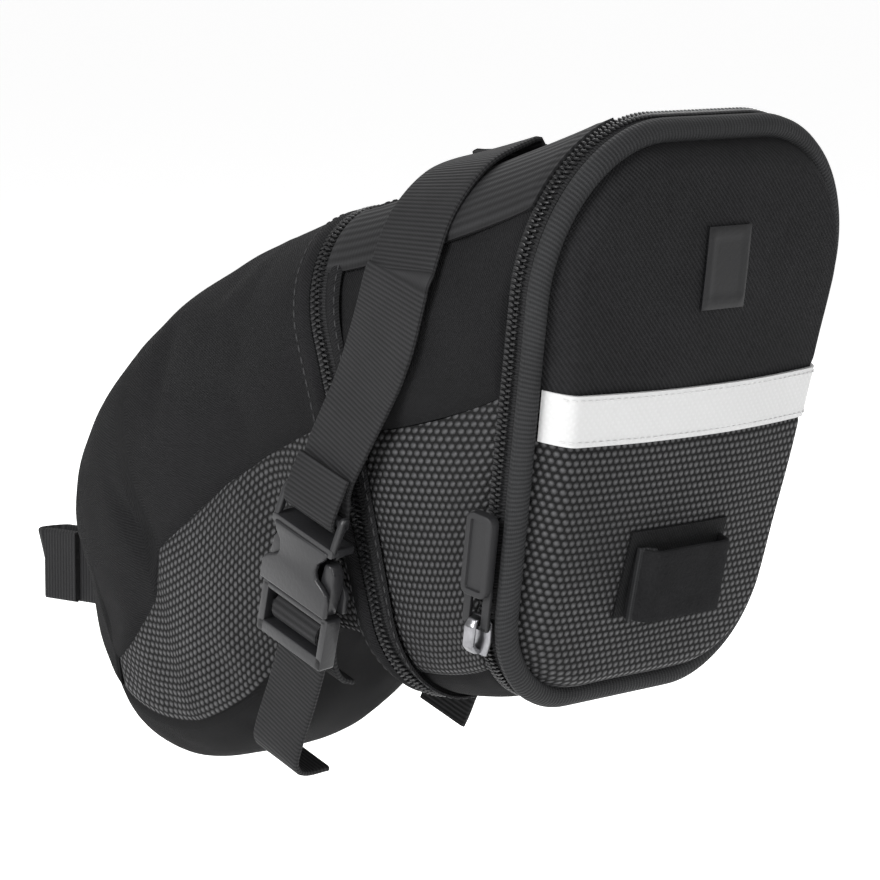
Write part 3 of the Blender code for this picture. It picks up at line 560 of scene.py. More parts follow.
def outline(ring, place):
    """The world point at a place on the ring, which need not be a whole number."""
    place %= AROUND
    side = NEAR if place <= HALF else FAR
    place = min(place, AROUND - place)
    lean = side_lean(ring)
    (top_y, top_z), (foot_y, foot_z) = corner_centres(ring)

    def on_arc(y, z, radius, angle):
        return Vector((y + radius * math.cos(angle), z + radius * math.sin(angle)))

    side_top = on_arc(top_y, top_z, ring.top_radius, -lean)
    side_foot = on_arc(foot_y, foot_z, ring.bottom_radius, -lean)
    seam = side_top.lerp(side_foot, ring.seam)
    if place <= TOP_END:
        flat = Vector((top_y * place / TOP_END, ring.half_height))
    elif place <= SIDE_TOP:
        share = (place - TOP_END) / (SIDE_TOP - TOP_END)
        flat = on_arc(top_y, top_z, ring.top_radius, math.pi / 2 - (math.pi / 2 + lean) * share)
    elif place <= SEAM:
        flat = side_top.lerp(seam, (place - SIDE_TOP) / (SEAM - SIDE_TOP))
    elif place <= SIDE_FOOT:
        flat = seam.lerp(side_foot, (place - SEAM) / (SIDE_FOOT - SEAM))
    elif place <= FOOT_END:
        share = (place - SIDE_FOOT) / (FOOT_END - SIDE_FOOT)
        flat = on_arc(foot_y, foot_z, ring.bottom_radius, -lean - (math.pi / 2 - lean) * share)
    else:
        flat = Vector((foot_y * (HALF - place) / (HALF - FOOT_END), -ring.half_height))
    return at(ring, side * flat.x, flat.y)


def spread(ring, first, last, count, fine=90):
    """Points spaced evenly along the ring between two places, and the length between its ends."""
    dense = [outline(ring, first + (last - first) * i / fine) for i in range(fine + 1)]
    gone = run_of(dense)
    points, step = [], 0
    for i in range(count + 1):
        want = gone[-1] * i / count
        while step < fine - 1 and gone[step + 1] < want:
            step += 1
        share = (want - gone[step]) / max(gone[step + 1] - gone[step], 1e-12)
        points.append(outline(ring, first + (last - first) * (step + share) / fine))
    return points, gone[-1]


def mouth_ring(depth):
    return grown(shifted(REAR_EDGE, -depth), LID_FLARE * min(depth / LID_DEPTH, 1.0))


MOUTH = mouth_ring(REAR_START)
BODY_RINGS = (MOUTH, EXPANSION, *NOSE_RINGS)
FRONT_RINGS = (shifted(EXPANSION, -EXPANSION_SEAT), *NOSE_RINGS)
FRONT_LENGTH = sum(math.hypot(b.x - a.x, b.z - a.z) for a, b in zip(FRONT_RINGS, FRONT_RINGS[1:]))
REAR_LENGTH = math.hypot(MOUTH.x - EXPANSION.x, MOUTH.z - EXPANSION.z)
PANEL_OUTLINE = grown(REAR_EDGE, -PANEL_GROOVE)
BEHIND_LID = at(REAR_EDGE, 0, 0, -0.2)


def rear_ring(share):
    """A ring at a share of the rear section's length, its top sagging between the two zips."""
    ring = blended(MOUTH, shifted(EXPANSION, EXPANSION_SEAT), share)
    sag = TOP_SAG * max(math.sin(math.pi * min(max(share, 0.0), 1.0)), 0.0) ** 0.6
    return ring._replace(z=ring.z - sag / 2, half_height=ring.half_height - sag / 2)


def front_ring(share):
    """A ring at a share of the front section's length, on a smooth curve through its rings."""
    knots = [0.0]
    for a, b in zip(FRONT_RINGS, FRONT_RINGS[1:]):
        knots.append(knots[-1] + math.hypot(b.x - a.x, b.z - a.z))
    want = share * knots[-1]
    i = max(k for k in range(len(knots) - 1) if knots[k] <= want + 1e-12)
    span = knots[i + 1] - knots[i]
    t = (want - knots[i]) / span

    def slope(values, k):
        a, b = max(k - 1, 0), min(k + 1, len(knots) - 1)
        return (values[b] - values[a]) / (knots[b] - knots[a]) * span

    fields = []
    for values in zip(*FRONT_RINGS):
        start, end = values[i], values[i + 1]
        fields.append(
            start * (2 * t**3 - 3 * t**2 + 1)
            + slope(values, i) * (t**3 - 2 * t**2 + t)
            + end * (3 * t**2 - 2 * t**3)
            + slope(values, i + 1) * (t**3 - t**2)
        )
    ring = Ring(*fields)
    drop = NOSE_DROP * min(share / 0.18, 1.0) * (1 - 0.75 * min(max(share - 0.45, 0.0) / 0.25, 1.0))
    rise = BASE_RISE * min(share / 0.05, 1.0) * bell(share - 0.20, 0.24)
    ahead = NOSE_REACH * bell(share - 0.86, 0.10)
    return ring._replace(
        x=ring.x - ahead, z=ring.z - drop + rise / 2, half_height=ring.half_height - rise / 2, seam=0.5
    )


def on_line(line, share):
    """The value of a line of (share, value) pairs at one share."""
    for (a, low), (b, high) in zip(line, line[1:]):
        if share <= b:
            return low + (high - low) * (share - a) / (b - a)
    return line[-1][1]


def base_pull(share):
    """How far the base is drawn up at a share of the front section's length."""
    return BASE_PULL * bell(share - 0.20, 0.20)


def skin_half_width(x, z):
    """Half the width of the bag where its skin passes the line through x and z along Y."""
    low, high = 0.0, len(BODY_RINGS) - 1.0
    for _ in range(50):
        middle = (low + high) / 2
        whole = min(int(middle), len(BODY_RINGS) - 2)
        ring = blended(BODY_RINGS[whole], BODY_RINGS[whole + 1], middle - whole)
        offset = Vector((x - ring.x, 0.0, z - ring.z))
        if offset.dot(ring_normal(ring)) < 0:
            low = middle
        else:
            high = middle
    return level_half_width(ring, offset.dot(ring_up(ring)))


def top_height(x):
    """Height of the rear section's top above x, midway across."""
    low, high = 0.0, 1.0
    for _ in range(40):
        share = (low + high) / 2
        ring = blended(MOUTH, EXPANSION, share)
        crest = at(ring, 0.0, ring.half_height)
        if crest.x > x:
            low = share
        else:
            high = share
    return crest.z


def soft_noise(point, size, seed):
    return noise.noise(point / size + Vector((seed, seed * 1.7, seed * 0.3)))


def sheet_grid(points, away):
    """A grid through rows of points, with its faces turned away from a point."""
    rows, columns = len(points), len(points[0])
    bm = bmesh.new()
    bmesh.ops.create_grid(bm, x_segments=columns - 1, y_segments=rows - 1, size=0.5)
    bm.verts.index_update()
    for vert in bm.verts:
        row, column = divmod(vert.index, columns)
        vert.co = points[row][column]
    bm.normal_update()
    if sum(face.normal.dot(face.calc_center_median() - away) * face.calc_area() for face in bm.faces) < 0:
        bmesh.ops.reverse_faces(bm, faces=bm.faces[:])
        bm.normal_update()
    return bm


def cloth(points, flats, wall, lift=None, away=MIDDLE):
    """A sheet through rows of points, with a UV map in metres, lifted along its normals and given a wall."""
    rows, columns = len(points) - 1, len(points[0]) - 1
    bm = sheet_grid(points, away)
    layer = bm.loops.layers.uv.new("UVMap")
    for face in bm.faces:
        for loop in face.loops:
            row, column = divmod(loop.vert.index, columns + 1)
            loop[layer].uv = flats[row][column]
    if lift:
        moves = {}
        for vert in bm.verts:
            row, column = divmod(vert.index, columns + 1)
            moves[vert] = vert.normal * lift(row / rows, column / columns, vert.co)
        for vert, move in moves.items():
            vert.co += move
    if wall:
        bm.normal_update()
        bmesh.ops.solidify(bm, geom=bm.faces[:], thickness=wall)
    return bm


def settled(points, most):
    """The sheet after a short cloth simulation: held at its border and pressed from inside."""
    scene = bpy.context.scene
    rows, columns = len(points), len(points[0])
    mesh = bpy.data.meshes.new("pressed")
    bm = sheet_grid(points, MIDDLE)
    normals = [vert.normal.copy() for vert in bm.verts]
    bm.to_mesh(mesh)
    bm.free()
    obj = bpy.data.objects.new("pressed", mesh)
    scene.collection.objects.link(obj)
    inside = {row * columns + column for row in range(1, rows - 1) for column in range(1, columns - 1)}
    border = [index for index in range(rows * columns) if index not in inside]
    obj.vertex_groups.new(name="held").add(border, 1.0, "ADD")
    press = obj.modifiers.new("press", "CLOTH")
    press.settings.vertex_group_mass = "held"
    press.settings.mass = 0.001
    press.settings.quality = 4
    press.settings.tension_stiffness = press.settings.compression_stiffness = 10.0
    press.settings.bending_stiffness = 1.0
    press.settings.shrink_min = -0.006
    press.settings.use_pressure = True
    press.settings.uniform_pressure_force = PRESSURE
    press.settings.effector_weights.gravity = 0.0
    press.collision_settings.use_collision = False
    press.point_cache.frame_start, press.point_cache.frame_end = 1, LAST_FRAME
    for number in range(1, LAST_FRAME + 1):
        scene.frame_set(number)
    pressed = obj.evaluated_get(bpy.context.evaluated_depsgraph_get()).data.vertices
    moves = [(vert.co - start.co).dot(normal) for vert, start, normal in zip(pressed, mesh.vertices, normals)]
    moves = [max(-most, min(move, most)) for move in moves]
    for _ in range(SMOOTHINGS):
        near = {index: (index - 1, index + 1, index - columns, index + columns) for index in inside}
        moves = [
            move / 2 + sum(moves[other] for other in near[index]) / 8 if index in inside else 0.0
            for index, move in enumerate(moves)
        ]
    flat = [start.co + normal * move for start, normal, move in zip(mesh.vertices, normals, moves)]
    found = [flat[row * columns:(row + 1) * columns] for row in range(rows)]
    scene.frame_set(1)
    bpy.data.objects.remove(obj)
    bpy.data.meshes.remove(mesh)
    return found


def strip_lengths(points):
    """How far along its middle each row of a sheet lies."""
    middle = len(points[0]) // 2
    return run_of([row[middle] for row in points])


def flat_area(points):
    total = 0.0
    for a, b in zip(points, points[1:]):
        for i in range(len(a) - 1):
            first = (a[i + 1] - a[i]).cross(b[i] - a[i]).length
            second = (b[i] - b[i + 1]).cross(a[i + 1] - b[i + 1]).length
            total += (first + second) / 2
    return total


def declare(points, widths):
    """Works out the width that a sheet was cut to, from its area and length, and does not keep it."""
    area, length = flat_area(points), strip_lengths(points)[-1]
    scale = max(1.0, area / (max(widths) * length * 0.999))
    max(widths) * scale


def skin(name, body, ring_at, places, counts, look, out, wall=None, seed=0.0, calm=1.0, shape=None):
    """A sewn panel of the bag's skin between two places on each ring, pressed out between its seams."""
    sizes = bpy.context.scene.saddle_bag_sizes
    columns, rows = counts
    finish, slot = look
    points, widths = [], []
    for row in range(rows + 1):
        line, width = spread(grown(ring_at(row / rows), out), *places(row / rows), columns)
        points.append(line)
        widths.append(width)
    gone = strip_lengths(points)
    flats = [[(w * (c / columns - 1), g) for c in range(columns + 1)] for w, g in zip(widths, gone)]
    sewn = points
    if calm:
        points = settled(points, MOST_PRESSED * calm)

    def lift(v, u, point):
        row = round(v * rows)
        across = min(u, 1 - u) * widths[row]
        along = min(v, 1 - v) * gone[-1]
        edge = min(across, along)
        swell = sizes.puff * (1 - math.exp(-across / 0.012)) * (1 - math.exp(-along / 0.012))
        pinch = sizes.pinch * bell(edge, 0.0016)
        quiet = 1 - math.exp(-edge / 0.008)
        fold = soft_noise(point, 0.030, seed) + 0.5 * soft_noise(point, 0.013, seed + 5)
        made = shape(v, u, point) * quiet if shape else 0.0
        return calm * (swell + sizes.rumple * quiet * fold) - pinch + made

    bm = cloth(points, flats, wall or sizes.wall, lift)
    obj = piece(name, bm, finish, body, (name.rsplit("_", 1)[0],))
    declare(sewn, widths)


def ring_band(rings, places, count, wall, fine=300, stretch=None):
    """A tape along a row of rings, each widened by its stretch, and the rows and widths it was made from."""
    points, widths = [], []
    for row, ring in enumerate(rings):
        line, width = spread(ring, *places, count, fine)
        if stretch:
            for point in line:
                point.y *= stretch[row]
        points.append(line)
        widths.append(width)
    flats = [[(gone, widths[0] * c / count) for c in range(count + 1)] for gone in strip_lengths(points)]
    bm = cloth(points, flats, 0.0)
    bmesh.ops.remove_doubles(bm, verts=bm.verts[:], dist=MERGE)
    bm.normal_update()
    bmesh.ops.solidify(bm, geom=bm.faces[:], thickness=wall)
    return bm, points, widths


def tube(profile, path, scale=None):
    """A closed solid: a profile of (side, out, run) along frames of (place, side, out), its width scaled."""
    count, rows = len(profile), len(path) - 1
    bm = bmesh.new()
    bmesh.ops.create_grid(bm, x_segments=count, y_segments=rows, size=0.5)
    bm.verts.index_update()
    layer = bm.loops.layers.uv.new("UVMap")
    gone = run_of([place for place, _, _ in path])
    flats = {}
    total = profile[-1][2] + (Vector(profile[-1][:2]) - Vector(profile[0][:2])).length
    for vert in bm.verts:
        row, column = divmod(vert.index, count + 1)
        place, side, out = path[row]
        across, up, run = profile[column % count]
        vert.co = place + side * (across * scale(row / rows) if scale else across) + out * up
        flats[vert.index] = (total if column == count else run, gone[row])
    for face in bm.faces:
        for loop in face.loops:
            loop[layer].uv = flats[loop.vert.index]
    closed(bm)
    return bm


def closed(bm):
    """Merges a mesh's seam, fills its ends and turns its faces outwards."""
    bmesh.ops.remove_doubles(bm, verts=bm.verts[:], dist=MERGE)
    bmesh.ops.holes_fill(bm, edges=[e for e in bm.edges if e.is_boundary], sides=0)
    bmesh.ops.recalc_face_normals(bm, faces=bm.faces[:])


def web_profile(width, thickness, turns=4, flat=8):
    """Cross-section of webbing with rounded edges, from its inner face round to its outer face."""
    radius = thickness / 2
    half = width / 2 - radius
    points = [(-half + 2 * half * i / flat, 0.0) for i in range(flat)]
    points += [
        (half + radius * math.sin(math.pi * i / turns), radius - radius * math.cos(math.pi * i / turns))
        for i in range(turns)
    ]
    points += [(half - 2 * half * i / flat, thickness) for i in range(flat)]
    points += [
        (-half - radius * math.sin(math.pi * i / turns), radius + radius * math.cos(math.pi * i / turns))
        for i in range(turns)
    ]
    runs = run_of([Vector(point) for point in points])
    return [(*point, run) for point, run in zip(points, runs)]


def smooth_path(points, pieces):
    """Points along a smooth curve through the given points."""
    ends = [points[0] * 2 - points[1], *points, points[-1] * 2 - points[-2]]
    path = [points[0].copy()]
    for a, b, c, d in zip(ends, ends[1:], ends[2:], ends[3:]):
        for i in range(1, pieces + 1):
            t = i / pieces
            curve = b * 2 + (c - a) * t + (a * 2 - b * 5 + c * 4 - d) * t**2
            path.append((curve + (b * 3 - a - c * 3 + d) * t**3) / 2)
    return path


def web_frames(path, across):
    """Frames of (place, side, out) along a path, with the webbing's width in the direction of across."""
    frames = []
    for i, point in enumerate(path):
        tangent = (path[min(i + 1, len(path) - 1)] - path[max(i - 1, 0)]).normalized()
        side = across(i / (len(path) - 1))
        side = (side - tangent * side.dot(tangent)).normalized()
        frames.append((point, side, side.cross(tangent).normalized()))
    return frames


def mirror_frames(frames, side):
    if side == NEAR:
        return frames
    return [tuple(Vector((v.x, -v.y, v.z)) for v in parts) for parts in frames]


def beads(name, spots, finish, body, size, turn=0.0):
    """Small rounded beads, such as zip coils or stitches, at frames of (place, along, across, out)."""
    bm = bmesh.new()
    for place, along, across, out in spots:
        basis = Matrix((along, across, out)).transposed().to_4x4()
        scale = Matrix.Diagonal((*size, 1.0))
        matrix = Matrix.Translation(place) @ basis @ Matrix.Rotation(turn, 4, "Z") @ scale
        bmesh.ops.create_uvsphere(bm, u_segments=6, v_segments=4, radius=1.0, matrix=matrix)
    bmesh.ops.recalc_face_normals(bm, faces=bm.faces[:])
    return piece(name, bm, finish, body)


def along_line(points, outs, pitch):
    """Frames of (place, along, across, out) every pitch along a line."""
    spots, carry = [], pitch / 2
    for a, b, out in zip(points, points[1:], outs):
        span = (b - a).length
        if span < 1e-9:
            continue
        along = (b - a) / span
        across = out.cross(along).normalized()
        while carry < span:
            spots.append((a + along * carry, along, across, along.cross(across)))
            carry += pitch
        carry -= span
    return spots


def ring_line(ring, first, last, count=400):
    """Points along a ring, with outward directions."""
    points, _ = spread(ring, first, last, count, 240)
    normal = ring_normal(ring)
    outs = []
    for a, b in zip(points, points[1:]):
        out = (b - a).cross(normal).normalized()
        centre = Vector((ring.x, 0.0, ring.z))
        outs.append(out if out.dot(a - centre) > 0 else -out)
    return points, outs


def extruded(points, rise):
    """A plate: a flat outline of points, raised."""
    bm = bmesh.new()
    face = bm.faces.new([bm.verts.new(point) for point in points])
    made = bmesh.ops.extrude_face_region(bm, geom=[face])
    moved = [part for part in made["geom"] if isinstance(part, bmesh.types.BMVert)]
    bmesh.ops.translate(bm, verts=moved, vec=rise)
    bmesh.ops.recalc_face_normals(bm, faces=bm.faces[:])
    return bm


def soften(bm, edges, offset, segments=2):
    bmesh.ops.bevel(
        bm, geom=edges, offset=offset, offset_type="OFFSET", segments=segments, profile=0.5,
        affect="EDGES", material=-1, clamp_overlap=True,
    )


def slab(outline_points, low, high, matrix, bevel, segments=2):
    """A moulded plate: an outline in the first and third directions of a frame, raised along the second."""
    bm = extruded([(x, low, z) for x, z in outline_points], (0.0, high - low, 0.0))
    if bevel:
        soften(bm, bm.edges[:], bevel, segments)
    bmesh.ops.transform(bm, matrix=matrix, verts=bm.verts[:])
    bmesh.ops.recalc_face_normals(bm, faces=bm.faces[:])
    return bm


def joined(meshes):
    """One mesh from several."""
    bm = bmesh.new()
    for part in meshes:
        held = bpy.data.meshes.new("held")
        part.to_mesh(held)
        part.free()
        bm.from_mesh(held)
        bpy.data.meshes.remove(held)
    return bm


def oblong(low, high, round_by=0.0, turns=4):
    """A rectangle's outline between two corners, with rounded corners where asked."""
    (x0, z0), (x1, z1) = low, high
    if not round_by:
        return [(x0, z0), (x1, z0), (x1, z1), (x0, z1)]
    points = []
    for cx, cz, start in (
        (x1 - round_by, z0 + round_by, -0.5),
        (x1 - round_by, z1 - round_by, 0.0),
        (x0 + round_by, z1 - round_by, 0.5),
        (x0 + round_by, z0 + round_by, 1.0),
    ):
        for i in range(turns + 1):
            angle = math.pi * (start + 0.5 * i / turns)
            points.append((cx + round_by * math.cos(angle), cz + round_by * math.sin(angle)))
    return points


class SADDLEBAG_OT_stage(bpy.types.Operator):
    """Makes the pale floor, the soft lights and the camera"""

    bl_idname = "saddlebag.stage"
    bl_label = "Stage"

    def execute(self, context):
        scene = context.scene
        scene.view_settings.view_transform = "Standard"
        self.floor()
        scene.world = self.studio()
        for name, place, size, power in LIGHTS:
            data = bpy.data.lights.new(name, "AREA")
            data.size, data.energy = size, power
            self.aimed(scene, name, data, place, MIDDLE - Vector(place))
        azimuth, elevation = math.radians(VIEW_AZIMUTH), math.radians(VIEW_ELEVATION)
        level = math.cos(elevation)
        back = Vector((math.sin(azimuth) * level, -math.cos(azimuth) * level, math.sin(elevation)))
        data = bpy.data.cameras.new("camera")
        data.lens, data.sensor_width = LENS, SENSOR
        scene.camera = self.aimed(scene, "camera", data, VIEW_CENTRE + back * VIEW_DISTANCE, -back)
        return {"FINISHED"}

    def floor(self):
        bm = bmesh.new()
        bmesh.ops.create_grid(bm, x_segments=1, y_segments=1, size=FLOOR_SIZE)
        bmesh.ops.translate(bm, verts=bm.verts[:], vec=(0.0, 0.0, SOLID_BOX[0][2] - FLOOR_DROP))
        paint = Paint("pale floor", 0.9, emission_strength=GLOW)
        paint.shader.inputs["Base Color"].default_value = PALE
        paint.shader.inputs["Emission Color"].default_value = WHITE
        FINISHES["floor"] = paint.material
        piece("floor", bm, "floor")

    def studio(self):
        world = bpy.data.worlds.new("studio")
        world.use_nodes = True
        background = world.node_tree.nodes["Background"]
        background.inputs["Color"].default_value = WHITE
        background.inputs["Strength"].default_value = GLOW
        return world

    def aimed(self, scene, name, data, place, direction):
        """A light or camera at a place, looking in a direction."""
        obj = bpy.data.objects.new(name, data)
        obj.location = place
        obj.rotation_euler = direction.to_track_quat("-Z", "Y").to_euler()
        scene.collection.objects.link(obj)
        return obj


class SADDLEBAG_OT_front_section(bpy.types.Operator):
    """Makes the front section's cloth"""

    bl_idname = "saddlebag.front_section"
    bl_label = "Front section"

    def execute(self, context):
        def seam(share):
            return on_line(SEAM_LINE, share)

        def foot(share):
            return on_line(FOOT_LINE, share)

        def side_ring(share):
            return front_ring(share * SIDE_REACH)

        def near_places(share):
            return seam(share * SIDE_REACH) - SEAM_LAP, foot(share * SIDE_REACH)

        def far_places(share):
            return tuple(AROUND - place for place in near_places(share))

        def upper_places(share):
            edge = seam(share) if share < SIDE_REACH else foot(share)
            return -edge, edge

        def base_places(share):
            return foot(share), AROUND - foot(share)

        for name, ring_at, places, counts, look, out, seed, folds in (
            ("front_upper", front_ring, upper_places, (96, 72), PLAIN, 0.0002, 1.0, self.nose_folds),
            ("front_side_left", side_ring, near_places, (40, 66), DOTTED, -0.0004, 2.0, self.tuck),
            ("front_side_right", side_ring, far_places, (40, 66), DOTTED, -0.0004, 3.0, self.tuck),
            ("front_base", front_ring, base_places, (48, 72), BASE, -0.0008, 4.0, self.base_folds),
        ):
            skin(name + "_cloth", "front_section", ring_at, places, counts, look, out, seed=seed, shape=folds)
        return {"FINISHED"}

    def nose_folds(self, v, u, point):
        """Creases that run from the muzzle to the corner of each textured side."""
        side = max(abs(2 * u - 1) - 0.55, 0.0) / 0.45
        crease = bell(v - 0.60 - 0.12 * (1 - side), 0.022)
        return -CREASE * crease * min(side * 2.0, 1.0) - NOSE_DIP * bell(v - 0.66, 0.10) * side

    def tuck(self, v, u, point):
        """The foot of each side drawn in towards the nose."""
        return -SIDE_TUCK * max(v - 0.5, 0.0) * 2.0

    def base_folds(self, v, u, point):
        """The base pulled up behind the straps, with two folds across it."""
        fold = math.sin(v * 46.0 + 3.0 * u) * bell(v - 0.16, 0.12)
        return -base_pull(v) + BASE_FOLD * fold - BASE_TUCK * max(v - 0.7, 0.0) / 0.3


class SADDLEBAG_OT_rear_section(bpy.types.Operator):
    """Makes the rear section's cloth, its strap runners and the tape that the lid folds on"""

    bl_idname = "saddlebag.rear_section"
    bl_label = "Rear section"

    def execute(self, context):
        for name, first, last, counts, look, seed in (
            ("rear_upper", -SEAM, SEAM, (110, 36), PLAIN, 6.0),
            ("rear_side_left", SEAM, BASE_EDGE, (40, 36), DOTTED, 7.0),
            ("rear_side_right", AROUND - SEAM, AROUND - BASE_EDGE, (40, 36), DOTTED, 8.0),
            ("rear_base", BASE_EDGE, AROUND - BASE_EDGE, (48, 24), BASE, 9.0),
        ):
            places, out = always((first, last)), -0.0006
            skin(name + "_cloth", "rear_section", rear_ring, places, counts, look, out, seed=seed, calm=0.6)
        far_runner = tuple(AROUND - place for place in RUNNER_PLACES)
        for word, ends in (("left", RUNNER_PLACES), ("right", far_runner)):
            skin(
                f"strap_runner_{word}_web", "rear_section", rear_ring, always(ends), (16, 60), RUNNER,
                RUNNER_LIFT, RUNNER_WALL, calm=0.0,
            )
        self.hinge_tape()
        return {"FINISHED"}

    def hinge_tape(self):
        columns, rows = 30, 12
        points = []
        for row in range(rows + 1):
            ring = mouth_ring(LID_ZIP[0] + (BODY_ZIP[1] - LID_ZIP[0]) * row / rows)
            line, width = spread(ring, FOOT_END, AROUND - FOOT_END, columns)
            points.append(line)
        flats = [[(width * c / columns, gone) for c in range(columns + 1)] for gone in strip_lengths(points)]
        bm = cloth(points, flats, TAPE_WALL)
        obj = piece("lid_hinge_tape_cloth", bm, "binding", None, ("lid_hinge_tape",))
        lid_end, body_end = (at(mouth_ring(depth), 0, -0.07) for depth in (LID_DEPTH, LID_DEPTH + 0.004))
        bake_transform(obj)


def crown_depth(y, z):
    across = 1 - (y / REAR_EDGE.top_half) ** 2
    upright = 1 - (z / REAR_EDGE.half_height) ** 2
    return SEAM_GAP + PANEL_EDGE + PANEL_CROWN * across * upright


def rim_distance(y, z):
    """How far inside the lid panel's outline a point lies, up to 8 mm."""
    low, high = 0.0, 0.008
    for _ in range(9):
        middle = (low + high) / 2
        ring = grown(PANEL_OUTLINE, -middle)
        if abs(z) < ring.half_height and abs(y) < level_half_width(ring, z):
            low = middle
        else:
            high = middle
    return low


def lid_depth(y, z, proud=0.0):
    """Depth of the padded lid's face, rolled over at its rim."""
    inside = min(rim_distance(y, z) / PANEL_ROLL, 1.0)
    roll = 1 - (1 - inside) ** 2.4
    return PANEL_RIM + (crown_depth(y, z) - PANEL_RIM) * roll + proud


def lid_sheet(low, high, counts, wall, proud, rumple, seed, hem=0.0):
    """Cloth across the lid between two heights, drawn in at its hems."""
    columns, rows = counts
    points, flats = [], []
    for row in range(rows + 1):
        z = low + (high - low) * (1 - math.cos(math.pi * row / rows)) / 2
        half = level_half_width(PANEL_OUTLINE, z)
        seam = hem * bell(min(z - low, high - z), 0.0018)
        line = []
        for column in range(columns + 1):
            y = -half * math.cos(math.pi * column / columns)
            soft = rumple * soft_noise(Vector((y, z, 0.0)), 0.022, seed)
            line.append(at(REAR_EDGE, y * LID_SPREAD, z, lid_depth(y, z, proud) + soft - seam))
        points.append(line)
        run = run_of(line)
        flats.append([(z, gone - run[-1] / 2) for gone in run])
    return cloth(points, flats, wall, away=BEHIND_LID)


